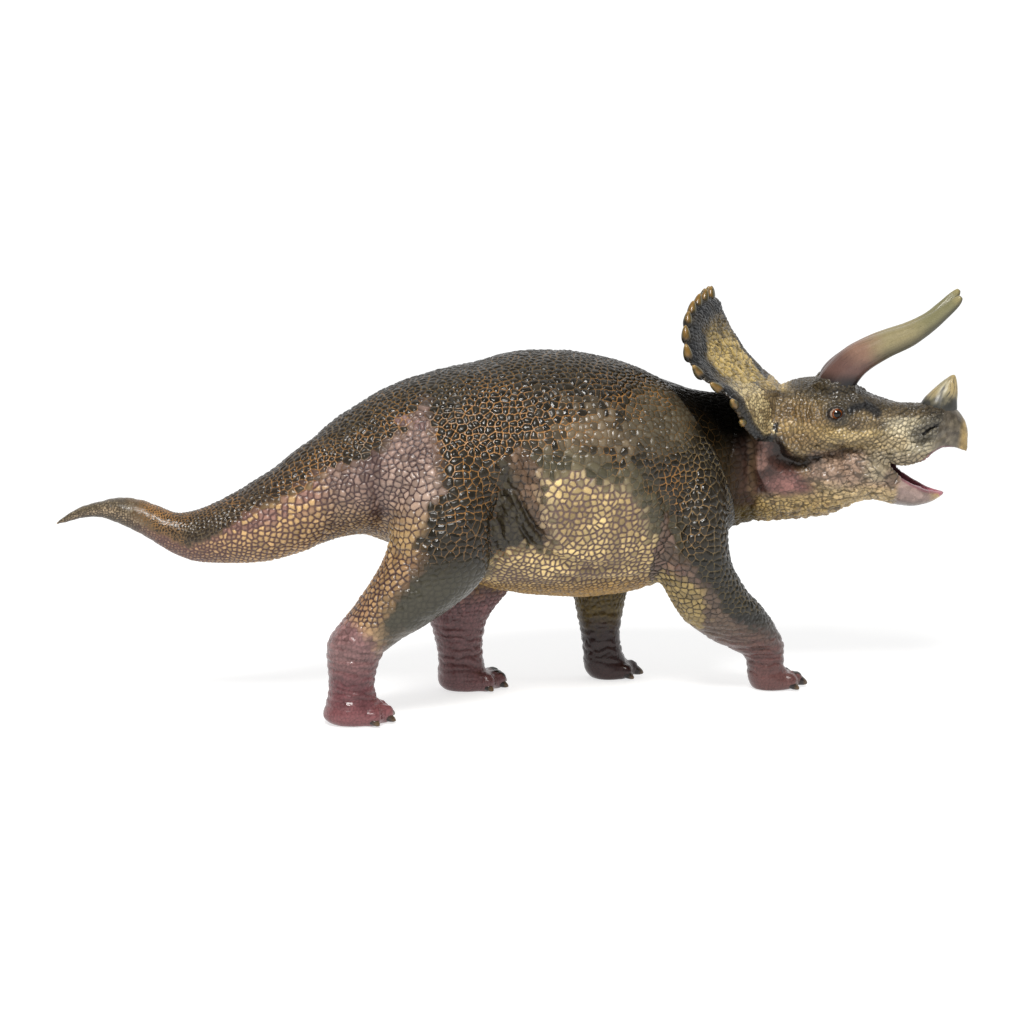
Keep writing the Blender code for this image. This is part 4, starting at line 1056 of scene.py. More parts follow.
    # painted highlight on the shoulder: lighter lines, and lighter scales on top of the near shoulder
    shoulder_highlight = ss(40, 46, x) * ss(86, 78, z) * ss(44, 50, z)
    line = mix(line, srgb("#77684a"), 0.6 * shoulder_highlight)
    shoulder_highlight = ss(16, 8, np.hypot(x - 38, (z - 88) * 1.25) + 2 * n1) * (y < 0)
    cell = mix(cell, srgb("#5a5242"), 0.6 * shoulder_highlight)
    # tip of the tail: smooth grey olive
    m_t = ss(-110, -121, x)
    cell = mix(cell, mix(tile("#8a7860"), srgb("#665b48"), ss(-0.3, 0.4, tz + 0.4 * n1)), m_t)
    line = mix(line, srgb("#3a3024"), m_t)
    # each scale a little lighter or darker
    calm = np.maximum(m_k, ss(28, 18, z))
    cell = cell * (1 + 0.64 * (hr - 0.5) * (1 - 0.85 * calm))[:, None]
    return cell, line, rough, dict(gold=m_g, strand=m_s, knee=m_k, broad=broad)


def skin_body(me):
    p, nrm = points(me), normals(me)
    n = len(p)
    xe, th, ft = trunk_coords(p)
    tth, tr, tz = tail_coords(p)
    y = p[:, 1]
    side = np.where(y < 0, -1, 1)
    on_leg = np.zeros(n, np.int8)
    leg_uv = {}
    for k, leg in enumerate(LEGS):
        s = -1 if leg.endswith("right") else 1
        phi, f, r, a = leg_coords(p, leg)
        on = (y * s > 2) & (f < 1.14) & ((ft > 1.02) | (p[:, 2] < 38)) & (on_leg == 0)
        on_leg[on] = k + 1
        leg_uv[leg] = (phi, r)
    on_tail = (p[:, 0] < -62) & (on_leg == 0)
    on_trunk = (~on_tail) & (on_leg == 0)

    seeds, sizes = [], []

    def take(got):
        seeds.append(got[0])
        sizes.append(got[1])

    # trunk: rows along the body
    tt = np.linspace(0, math.pi, 200)
    dv = np.interp(tt, [0, 0.3, 0.7, 1.25, 1.6, 2.1, 2.6, math.pi], [1.85, 1.95, 2.05, 2.0, 1.75, 1.6, 1.4, 1.3])
    cum = np.concatenate([[0], np.cumsum(33.0 / dv[1:] * np.diff(tt))])
    idx = np.nonzero(on_trunk)[0]
    v = np.interp(th[idx], tt, cum)
    row_size = np.interp(np.interp(np.floor(v) + 0.5, cum, tt), tt, dv)
    v = np.where(side[idx] < 0, v, v + 200)
    take(lattice(idx, xe[idx] / (row_size * 1.06), v, row_size, 101))
    # tail: rings that follow the taper
    idx = np.nonzero(on_tail)[0]
    xs = np.linspace(-142, -60, 400)
    rr = np.interp(xs, TAIL_ROWS[:, 0], TAIL_ROWS[:, 3])
    size_x = np.clip(0.1 + 0.125 * rr, 0.75, 1.85)
    u_x = np.concatenate([[0], np.cumsum(np.diff(xs) / size_x[1:])])
    u = np.interp(p[idx, 0] - 1.5 * np.sin(tth[idx]) * 0, xs, u_x)
    ring_x = np.interp(np.floor(u) + 0.5, u_x, xs)
    ring_size = np.interp(ring_x, xs, size_x)
    count = np.maximum(6, np.round(2 * np.pi * np.interp(ring_x, xs, rr) / ring_size))
    take(lattice(idx, tth[idx] / (2 * np.pi) * count, u, ring_size, 131, jitter=0.28))
    # legs
    for k, leg in enumerate(LEGS):
        idx = np.nonzero(on_leg == k + 1)[0]
        q, (phi, r) = p[idx], leg_uv[leg]
        z = q[:, 2]
        if leg.startswith("hind"):
            x0 = -24 if leg.endswith("right") else -14
            zz = z + 0.010 * (q[:, 0] - x0) ** 2 * ss(40, 60, z)
            step = lambda a: np.interp(a, [0, 6, 26, 40, 60, 100], [1.0, 1.1, 1.25, 1.75, 2.0, 2.0])
        else:
            x0 = 50 if leg.endswith("right") else 44
            zz = z + 0.018 * (q[:, 0] - x0) ** 2 * ss(40, 60, z)
            step = lambda a: np.interp(a, [0, 6, 20, 34, 55, 100], [0.9, 1.0, 1.3, 1.8, 2.1, 2.2])
        zs = np.linspace(0, 130, 500)
        vz = np.concatenate([[0], np.cumsum(np.diff(zs) / step(zs[1:]))])
        v = np.interp(zz, zs, vz)
        z_row = np.interp(np.floor(v) + 0.5, vz, zs)
        size = step(z_row)
        t = LEG_ROWS[leg]
        rr_ = np.interp(z_row, t[:, 0], (t[:, 2] - t[:, 1]) / 4 + t[:, 4] / 2)
        wide = np.where(z_row > 42, 1.3, 1.1)
        take(lattice(idx, phi[idx] * rr_ / (size * wide), v + 500 * (k + 1), size, 151 + k, jitter=0.27))
    seeds, sizes = np.concatenate(seeds), np.concatenate(sizes)
    # wrinkles of the shins run round the leg, so the cells there are flat
    q = p.copy()
    q[:, 2] = np.interp(p[:, 2], [-5, 24, 44, 140], [-5 - 24 * 0.5, 24, 44, 140])
    q += 0.35 * np.stack([noise(p, 2.2, 61), noise(p, 2.2, 62), noise(p, 2.2, 63)], 1)
    e, own, size, seeds = scale_field(q, seeds, sizes)
    hr = hash01(own, seed=7)
    # a scale mostly takes the colour of its middle
    zone = p + (p[seeds[own]] - p) * 0.7
    cell, line, rough, g = paint_body(zone, nrm, own, hr)
    depth = np.full(n, 0.3)
    low = ss(28, 19, p[:, 2] - 0.25 * np.maximum(0, -38 - p[:, 0]))
    depth *= 1 - 0.8 * low
    depth *= 1 - 0.45 * ss(46, 58, xe) * ss(2.4, 1.6, th)
    depth *= 1 - 0.6 * ss(-100, -118, p[:, 0])
    depth *= 0.82 + 0.36 * hash01(own, seed=8)
    h = dome(e, size, depth)
    # painted shade towards the border of each scale and painted highlight on its dome
    cell = cell * (0.66 + 0.5 * np.clip(h / np.maximum(depth * size, 1e-6), 0, 1))[:, None]
    h = h - 0.55 * depth * size
    # smooth wrinkled skin above the feet
    wr = ripple(p, p[:, 2] + 0.15 * p[:, 0], 2.3, 521, 0.6)
    lw = low * ss(4, 9, p[:, 2]) * (np.abs(nrm[:, 2]) < 0.8)
    h = h + lw * 0.28 * (wr ** 0.6 - 0.6)
    # painted shade in the wrinkle creases
    cell = cell * (1 - 0.35 * low * (1 - wr) * ss(4, 9, p[:, 2]))[:, None]
    # long folds in front of the thigh
    s = 0.86 * p[:, 0] + 0.52 * p[:, 2]
    c = np.abs(np.sin(np.pi * (s / 3.0 + 0.5 * noise(p, 6.0, 501) + 0.2 * noise(p, 2.0, 502))))
    h = h * (1 - 0.5 * g["strand"]) + g["strand"] * 0.8 * (c ** 0.7 - 0.65)
    h = h * (1 - 0.6 * g["knee"])
    # low places of the scales are a little uneven
    h += 0.05 * noise(p, 0.9, 71) * ss(0.2, 0.6, e)
    h *= ss(0.1, 2.0, p[:, 2])
    set_points(me, p + nrm * h[:, None])
    wide = 1.0 + 1.1 * g["gold"] * ss(34, 40, p[:, 2]) + 1.0 * g["broad"]
    e = e + 1.2 * low + 0.3 * g["knee"]
    e = np.where(g["strand"] > 0.5, np.minimum(e, 0.1 + 0.9 * c), e)
    put_attrs(me, cell, line, np.clip(e / (1.2 * wide), 0, 1), rough)


# ------------------------------------------------------------------ body pieces
SKIN = skin_material("body_skin")


def seam_block(lo=0.0, hi=90.0):
    """Everything in front of (or behind) the neck seam."""
    m = Matrix.Translation(COLLAR_C) @ Matrix.Rotation(math.radians(-COLLAR_TILT), 4, 'Y')
    return box_solid((lo, -90, -120), (hi, 90, 120), m)


def build_body():
    me = body_mesh()
    fill_creases(me, 60)
    relax(me, 3, 0.4)
    sculpt_body(me)
    me = evaluated(me, ('SUBSURF', {"levels": 1, "render_levels": 1}))
    skin_body(me)

    trunk_solid = mesh_of("trunk_solid", loft([trunk_ring(TRUNK[0], 0.0, -8.0)] + [trunk_ring(r) for r in catmull(TRUNK, 3)]
                                              + [trunk_ring(TRUNK[-1], 0.6, 4.0), trunk_ring(TRUNK[-1], 3.0, 12.0)]))
    rest = me
    for leg, rows in LEGS.items():
        s = -1 if leg.endswith("right") else 1
        grown = [leg_ring(r, 2.2, 40) for r in catmull(rows, 2)]
        foot = leg_ring((0.0,) + rows[1][1:], 6.5, 40)
        low = [foot + np.array((0, 0, -3.0)), foot + np.array((0, 0, 6.0))]
        grown = low + [r for r in grown if r[0][2] > 8.0]
        tool = mesh_of(leg + "_tool", loft(grown))
        tool = cut(tool, trunk_solid, 'DIFFERENCE')
        tool = cut(tool, mesh_of("ahead", seam_block(-0.05, 60)), 'DIFFERENCE') if leg.startswith("front") else tool
        piece = cut(me, tool, 'INTERSECT')
        rest = cut(rest, tool, 'DIFFERENCE')
        mend_attrs(piece)
        to_object(leg + "_skin", piece, "body", (leg,), SKIN)
    inner_rows = catmull(TRUNK, 1)
    hollow = mesh_of("hollow", loft([trunk_ring(inner_rows[0], WALL, -3.0, 32)] + [trunk_ring(r, WALL, 0.0, 32) for r in inner_rows]
                                    + [trunk_ring(inner_rows[-1], WALL, 3.0, 32)]))
    tail = cut(rest, mesh_of("behind", box_solid((-170, -90, 0), (-62.0, 90, 140))), 'INTERSECT')
    mend_attrs(tail)
    to_object("tail_skin", tail, "body", ("tail",), SKIN)
    rest = cut(rest, mesh_of("behind", box_solid((-170, -90, 0), (-62.0, 90, 140))), 'DIFFERENCE')
    rest = cut(rest, mesh_of("ahead", seam_block(0.0, 90)), 'DIFFERENCE')
    rest = cut(rest, hollow, 'DIFFERENCE')
    for name, lo, hi in (("torso_right", -90, 0.0), ("torso_left", 0.0, 90)):
        half = cut(rest, mesh_of("half", box_solid((-90, lo, -10), (110, hi, 150))), 'INTERSECT')
        mend_attrs(half)
        to_object(name + "_skin", half, "body", (name,), SKIN)


build_body()

# ------------------------------------------------------------------ head and neck skin
def to_head(p):
    return p @ HEAD_I[:3, :3].T + HEAD_I[:3, 3]


def from_head(p):
    return np.asarray(p, float) @ HEAD_M[:3, :3].T + HEAD_M[:3, 3]


def hball(c, r, turn=None, nu=20, nv=12):
    """Ellipsoid given in the head frame."""
    v, f = ball(c, r, turn, nu, nv)
    return from_head(v), f


def frill_x(y, z):
    zs, xs = zip(*FRILL_RIDGE)
    return np.interp(z, zs, xs) - FRILL_SWEEP * (np.hypot(y, 4.0) - 4.0)


def rim_point(a, f=1.0):
    ca, sa = np.cos(a), np.sin(a)
    ru = np.where(sa > 0, FRILL_R[1], FRILL_R[2])
    y, z = FRILL_C[0] + FRILL_R[0] * ca, np.maximum(FRILL_C[1] + ru * sa, FRILL_FLOOR)
    return y * f, 92.0 + (z - 92.0) * f


def frill_solid(spokes=220):
    a = 2 * np.pi * np.arange(spokes) / spokes
    fs = np.concatenate([np.linspace(0.3, 0.84, 10), [0.88, 0.91, 0.94, 0.965, 0.985, 1.0]])
    front, back = [], []
    for f in fs:
        y, z = rim_point(a, f)
        t = FRILL_T * (1.0 - 0.25 * f)
        edge = 0.85 * ss(0.965, 1.0, np.float64(f))
        lip = 0.75 * np.exp(-((f - 0.93) / 0.045) ** 2) - 0.5 * np.exp(-((f - 0.72) / 0.14) ** 2)
        x = frill_x(y, z)
        front.append(np.stack([x - edge + lip, y, z], 1))
        back.append(np.stack([x - t + edge, y, z], 1))
    rings = [from_head(r) for r in front] + [from_head(r) for r in back[::-1]]
    return loft(rings)


# side view (x, z) of the mouth, and of the bands of loose skin at its corner
MOUTH = [(50.4, 70.8), (51.2, 72.1), (54.2, 72.2), (58.8, 73.6), (62.0, 76.2), (64.8, 77.6), (68.6, 77.5), (71.0, 76.5),
         (74.0, 75.2), (80.0, 75.0), (80.0, 62.8), (66.5, 63.2), (64.4, 63.3), (59.7, 64.3), (55.7, 66.2), (52.0, 68.6),
         (50.6, 69.8)]
MOUTH_IN = [(27.0, 71.6, 68.0, 4.0), (34.0, 74.4, 65.6, 7.6), (42.0, 76.0, 64.6, 8.2), (49.0, 77.4, 63.6, 7.6),
            (54.0, 78.4, 62.8, 6.6), (58.0, 79.2, 62.0, 5.4), (62.0, 79.2, 62.2, 3.8), (65.5, 78.8, 63.2, 2.0)]
LIP_LOW = [(9.15, 59.3), (10.7, 60.5), (25.6, 71.9), (28.5, 76.0), (58.2, 65.05)]
WEB_REAR = [(9.15, 65.9), (22.4, 76.06), (25.6, 71.9), (10.7, 60.5), (9.15, 59.3)]
WEB_FRONT = [(22.4, 76.06), (29.3, 83.1), (58.0, 72.5), (58.2, 65.05), (28.5, 76.0), (25.6, 71.9)]


def prism(flat, lo=-40.0, hi=40.0):
    """Solid whose side view in the head frame is the polygon."""
    q = np.array(flat, float)
    return loft([from_head(np.stack([q[:, 0], np.full(len(q), y), q[:, 1]], 1)) for y in (lo, hi)])


def drum_solid(r):
    drum = mesh_of("drum", bar(hp(JAW_X, -38, JAW_Z), hp(JAW_X, 38, JAW_Z), r, n=120))
    drum = cut(drum, mesh_of("front", box_solid((JAW_X - 5, -39, 40), (90, 39, 112), HEAD)), 'UNION')
    return cut(drum, mesh_of("keep", box_solid((9.15, -50, 30), (100, 50, 120), HEAD)), 'INTERSECT')


HEAD_BALLS = [
    # swelling at the horn's root, brow, cheek point, nostril, ridge along the snout
    ((31.5, 8.6, 95.6), (6.4, 5.6, 4.4)), ((36.5, 11.2, 92.4), (4.6, 2.8, 2.4)),
    ((20.8, 15.6, 80.6), (5.4, 3.8, 2.6)), ((60.2, 6.2, 84.0), (4.0, 2.7, 3.2)),
    ((31.8, 13.0, 88.6), (4.4, 3.1, 3.6)), ((46.0, 10.2, 82.0), (8.0, 2.6, 2.0)),
    # bulge of the jaw muscle, folds at the corner of the mouth, collar behind the cheek
    ((29.5, 10.8, 69.0), (8.0, 4.6, 5.0)), ((43.0, 8.4, 69.8), (6.6, 3.6, 5.2)), ((40.0, 8.2, 75.0), (8.0, 4.0, 3.6)),
    ((47.5, 6.8, 68.6), (3.8, 3.2, 3.4)), ((10.6, 14.4, 73.6), (2.0, 3.4, 7.4)), ((31.2, 8.8, 97.4), (6.6, 5.9, 3.2)),
]


def head_mesh():
    base = mesh_of("skull_base", loft([head_ring(*r) for r in catmull(SKULL, 5)]))
    jaw = mesh_of("jaw_base", loft([head_ring(x, t, b, b + (t - b) * 0.55, hw, e) for x, t, b, hw, e in catmull(JAW, 5)]))
    base = cut(base, jaw, 'UNION')
    for c, r in HEAD_BALLS:
        for s in (-1, 1):
            base = cut(base, mesh_of("b", hball((c[0], c[1] * s, c[2]), r)), 'UNION')
    base = cut(base, mesh_of("mouth", prism(MOUTH)), 'DIFFERENCE')
    inner = mesh_of("mouth_in", loft([head_ring(x, t, b, (t + b) / 2, hw, 2.3, n=56) for x, t, b, hw in catmull(MOUTH_IN, 3)]))
    base = cut(base, inner, 'DIFFERENCE')
    neck_rings = [trunk_ring(TRUNK[-2], 1.0, -4.0)] + [trunk_ring(r) for r in catmull(TRUNK[-2:], 3)] \
        + [trunk_ring(r) for r in catmull(NECK, 4)[1:]]
    neck = mesh_of("neck_base", loft(neck_rings))
    neck = cut(neck, inner, 'DIFFERENCE')
    frill = mesh_of("frill_base", frill_solid())
    parts = [(points(m), [list(q.vertices) for q in m.polygons]) for m in (base, neck, frill)]
    me = mesh_of("head_base", *parts)
    return evaluated(me, ('REMESH', {"mode": 'VOXEL', "voxel_size": HEAD_VOXEL}))


HEAD_FOLDS = [
    # swirl behind and below the nostril
    ([(53.2, 80.8), (57.0, 79.4), (61.0, 80.4), (63.6, 83.0)], 0.8, -0.9),
    ([(52.0, 84.6), (55.4, 82.6), (58.6, 83.6)], 0.7, -0.8),
    ([(47.6, 79.4), (52.4, 77.2), (58.0, 77.6)], 0.8, -0.8),
    ([(44.0, 82.8), (48.4, 81.4), (52.0, 82.4)], 0.7, -0.7),
    ([(56.0, 86.6), (60.0, 86.4), (63.2, 87.2)], 0.7, -0.6),
    # bags under the eye and ridges behind it
    ([(28.6, 85.0), (32.6, 83.9), (36.8, 85.4)], 0.55, -0.6),
    ([(27.4, 83.6), (32.6, 82.2), (38.0, 83.8)], 0.55, -0.5),
    ([(26.2, 94.4), (27.6, 91.6), (27.6, 88.4)], 0.6, -0.6),
    ([(23.4, 93.6), (24.8, 90.4), (24.8, 86.6)], 0.6, -0.6),
    ([(20.4, 93.6), (21.8, 90.2), (21.6, 86.0)], 0.6, -0.6),
    ([(17.6, 92.8), (18.8, 89.4), (18.4, 85.6)], 0.6, -0.5),
    # orbit, ridge under the eye and its fold
    ([(26.0, 90.2), (28.6, 93.0), (33.4, 93.6), (37.2, 91.4)], 0.9, 0.5),
    ([(25.0, 87.4), (27.6, 84.9), (32.4, 84.2), (36.8, 85.8)], 0.7, -0.55),
    ([(23.6, 86.0), (27.0, 83.6), (33.0, 82.6), (38.4, 84.0)], 0.7, -0.45),
    ([(19.5, 84.2), (24.1, 84.6), (30.2, 82.2), (36.3, 81.6), (43.0, 82.4), (51, 83.6)], 1.2, 0.65),
    ([(24, 79.6), (29.5, 78.8), (36.0, 77.8)], 0.8, -0.8),
    ([(36.0, 77.8), (43.0, 78.2), (50.0, 79.6)], 0.6, -0.3),
    ([(33.4, 87.0), (36.4, 84.6), (40.4, 83.4)], 0.6, -0.5),
    ([(40.6, 86.6), (47.0, 87.4), (54.0, 88.0)], 1.1, 0.4),
    ([(38.0, 88.4), (44.4, 89.6), (50.6, 89.6)], 0.8, -0.45),
    ([(36.0, 95.6), (41.4, 93.8), (48.0, 92.2)], 1.0, 0.4),
    # cheek point, hollow under it
    ([(12.6, 83.0), (16.0, 79.6), (20.0, 77.9), (24.4, 77.0), (29.0, 77.8), (34.2, 79.2)], 1.0, 0.9),
    ([(14.2, 80.4), (14.6, 76.4), (17.4, 73.4), (21.6, 73.0), (25.4, 74.2)], 1.9, -2.4),
    ([(9.2, 81.4), (8.4, 76.4), (8.8, 70.4), (11.6, 65.4)], 1.2, 0.7),
    ([(6.0, 80.0), (5.4, 74.0), (6.6, 67.6), (10.4, 62.8)], 1.2, -0.9),
    ([(25.4, 75.0), (31.0, 76.0), (36.0, 77.0), (41.0, 76.8), (45.6, 75.8)], 0.8, -1.3),
    # nostril with its lips
    ([(59.4, 82.6), (60.8, 83.8), (62.6, 84.7)], 0.62, -1.5),
    ([(57.4, 83.0), (58.8, 85.2), (61.8, 86.4), (64.8, 85.8)], 0.6, 0.75),
    ([(57.6, 81.2), (60.2, 81.2), (63.4, 82.6), (64.9, 84.6)], 0.6, 0.7),
    ([(55.6, 81.8), (56.6, 85.6), (60.0, 88.0), (64.8, 87.8)], 0.5, -0.5),
    ([(55.8, 80.0), (60.0, 79.4), (64.0, 80.6), (66.4, 83.0)], 0.5, -0.5),
    ([(53.8, 81.4), (54.6, 85.6), (57.4, 88.4)], 0.5, -0.4),
    # upper lip and beak
    ([(50.6, 73.6), (53.4, 75.4), (57.0, 77.6), (60.6, 78.8)], 0.6, -0.4),
    ([(65.6, 88.6), (66.0, 84.0), (66.6, 79.0)], 0.6, -0.4),
    # folds fanning from the corner of the mouth over the jaw
    ([(49.0, 70.0), (46.0, 74.4), (40.0, 77.4), (33.0, 78.2)], 0.6, -0.7),
    ([(48.6, 68.8), (44.0, 72.6), (38.0, 74.8), (31.0, 75.4)], 0.6, -0.6),
    ([(48.4, 67.4), (43.0, 70.0), (38.4, 70.8), (32.0, 71.2)], 0.55, -0.5),
    ([(49.4, 66.4), (47.0, 66.2), (43.6, 63.6), (41.4, 60.8)], 0.55, -0.6),
    ([(46.4, 68.4), (43.4, 66.4), (40.2, 63.8), (38.6, 60.6)], 0.55, -0.5),
    ([(42.6, 68.6), (39.6, 66.4), (36.2, 62.6)], 0.55, -0.4),
    ([(34.6, 78.0), (34.2, 73.6), (36.0, 69.6), (38.0, 66.4)], 0.6, -0.45),
    ([(52.0, 64.6), (51.0, 62.0), (50.0, 59.6)], 0.6, -0.5),
    ([(18.4, 70.6), (22.0, 66.6), (28.0, 64.2), (36.0, 61.6)], 0.9, -0.55),
    ([(50.4, 67.0), (50.8, 69.0), (51.6, 71.6)], 0.6, 0.35),
]


def sculpt_head(me):
    co, nrm = points(me), normals(me)
    h = to_head(co)
    hn = nrm @ HEAD_I[:3, :3].T
    side = np.where(h[:, 1] < 0, -1, 1)
    flat = h[:, [0, 2]] + 0.35 * np.stack([noise(co, 3.0, 77), noise(co, 3.0, 78)], 1)
    out = (hn[:, 1] * side > 0.15) & (np.abs(h[:, 1]) > 2.0) & (h[:, 0] > 4) & ((h[:, 0] - frill_x(h[:, 1], h[:, 2]) > 0.5) | (h[:, 2] < 80.5))
    d = np.zeros(len(co))
    for pts, w, depth in HEAD_FOLDS:
        d += stroke(flat, pts, w, depth * 1.35, where=out)
    # neck: collar folds, and strands from the cheek down to the throat
    neck = (h[:, 0] < 9.0) & (co[:, 0] > 50) & (np.abs(h[:, 1]) < 26)
    sway = co + 1.8 * np.stack([noise(co, 7, 81), noise(co, 7, 82), noise(co, 7, 83)], 1)
    t = np.abs(np.sin((sway[:, 0] - 0.25 * sway[:, 2]) * 0.5))
    d -= neck * ss(92, 84, co[:, 2]) * 0.55 * np.exp(-(t / 0.3) ** 2)
    # two rows of knobs under the throat
    low = ss(60.5, 58.4, h[:, 2]) * ss(44, 36, h[:, 0]) * (np.abs(h[:, 1]) > 2)
    kn = np.abs(np.sin((h[:, 0] + 0.8 * noise(co, 4.0, 85)) * np.pi / 3.1))
    d += low * 0.55 * (kn - 0.45)
    d += noise(co, 6.0, 84, 2) * 0.25
    # a raised rim round the eye
    for s in (-1, 1):
        dx, dz = h[:, 0] - 31.9, h[:, 2] - 89.0
        near = (h[:, 1] * s > 8) & (hn[:, 1] * s > 0.0)
        r = np.hypot(dx / 1.2, (dz - 0.08 * dx) / 0.92)
        d += near * (0.5 * np.exp(-((r - 2.5) / 0.42) ** 2) - 0.35 * np.exp(-((r - 3.25) / 0.26) ** 2)
                     + 0.25 * np.exp(-((r - 3.8) / 0.35) ** 2) - 0.28 * np.exp(-((r - 4.4) / 0.26) ** 2)
                     + 0.2 * np.exp(-((r - 5.0) / 0.35) ** 2) - 0.22 * np.exp(-((r - 5.7) / 0.28) ** 2))
    set_points(me, co + nrm * d[:, None])


def open_eyes(p, h, hn):
    """Moves the skin inside the lids behind the eyeball."""
    for s in (-1, 1):
        dx, dz = h[:, 0] - 31.9, h[:, 2] - 89.0
        near = (h[:, 1] * s > 8) & (hn[:, 1] * s > -0.2)
        r = np.hypot(dx / 1.2, (dz - 0.08 * dx) / 0.92)
        sink = near * ss(1.75, 1.35, r) * 3.4
        p = p - (HEAD_SIDE * s)[None] * sink[:, None]
    return p


def groove(p, size, width, seed):
    """1 on the ridges and 0 in a net of winding grooves."""
    a, b = noise(p, size, seed), noise(p, size, seed + 50)
    return 1.0 - np.maximum(np.exp(-(a / width) ** 2), 0.7 * np.exp(-(b / width) ** 2))


def rim_share(y, z):
    """How far a point of the frill lies from its middle (0) to its rim (1)."""
    aa = np.linspace(-np.pi, np.pi, 721)
    ry, rz = rim_point(aa)
    rr, at = np.hypot(ry, rz - 92.0), np.arctan2(rz - 92.0, ry)
    order = np.argsort(at)
    return np.hypot(y, z - 92.0) / np.interp(np.arctan2(z - 92.0, y), at[order], rr[order])


def head_zones(p, h, hn):
    x, y, z = h.T
    ay = np.abs(y)
    n1, n2, n3 = noise(p, 5.0, 91, 2), noise(p, 2.0, 92, 2), noise(p, 10.0, 93, 2)
    w = 1.3 * n1 + 0.9 * n2
    front = x - frill_x(y, z)
    f = rim_share(y, z)
    frill = (front > -FRILL_T - 1.6) & (front < 2.6) & ((ay > 17.5) | (z > 98.5)) & (x < 17.5) & (z > 80.2)
    neck = (~frill) & ((x < 8.8) | ((z < 61.4) & (x < 18)))
    face = (front > -0.9) & (hn[:, 0] > 0.0)
    panel_sd = poly_sd(np.stack([ay, z], 1), [(2.0, 119.0), (7.0, 118.6), (13.5, 116.4), (20.0, 111.6), (24.6, 106.0),
                                              (26.0, 101.4), (22.0, 98.4), (16.4, 97.8), (10.8, 98.2), (6.0, 99.8), (2.4, 104)])
    panel = ss(-0.6, 1.0, panel_sd + 0.4 * w) * face * frill
    half = np.interp(x, [r[0] for r in MOUTH_IN], [r[3] for r in MOUTH_IN])
    top = np.interp(x, [r[0] for r in MOUTH_IN], [r[1] for r in MOUTH_IN])
    bot = np.interp(x, [r[0] for r in MOUTH_IN], [r[2] for r in MOUTH_IN])
    inside = (x > 26) & (x < 66.5) & (ay < half + 0.35) & (z < top + 0.7) & (z > bot - 0.7)
    lip_d, _ = seg_dist(np.stack([x, z], 1), MOUTH[:9])
    lip_e, _ = seg_dist(np.stack([x, z], 1), MOUTH[11:] + MOUTH[:1])
    low = z < np.interp(x, [q[0] for q in LIP_LOW[:4]] + [50, 54, 58, 80], [q[1] for q in LIP_LOW[:4]] + [70.6, 70.4, 69, 70])
    beak = ss(62.2, 65.4, x + 0.35 * (84 - z) + 0.5 * w) * (~low)
    beak = np.maximum(beak, ss(49.6, 51.6, x - 0.25 * (z - 62) + 0.3 * w) * low)
    beak = beak * ss(91.5, 88.5, z)
    # hollow: the dark band under the cheek, used as painted shade
    hollow = ss(1.6, -0.8, seg_dist(np.stack([x, z], 1), [(14.4, 80.4), (15.0, 76.4), (17.6, 74.0), (21.6, 73.6), (26.0, 74.8)])[0] - 1.6 + 0.4 * n1) * (~frill)
    strand = ss(4.0, 9.0, x + 0.8 * n1) * ss(29, 21, x + 0.6 * (z - 66) + n1) * ss(84.0, 81.0, z + 0.5 * n1 - 0.35 * (x - 9) * 0) \
        * ss(61.0, 65, z + n1) * ss(0.6, -0.8, z - np.interp(x, [8, 13.5, 17.1, 20.7, 24.2, 29], [84, 82.3, 78.2, 76.5, 75.7, 76.6])) * (~frill)
    return dict(x=x, y=y, z=z, ay=ay, n1=n1, n2=n2, n3=n3, w=w, front=front, frill=frill, neck=neck, f=f, face=face,
                panel=panel, inside=inside, lip_up=lip_d, lip_low=lip_e, low=low, beak=beak, hollow=hollow, strand=strand)


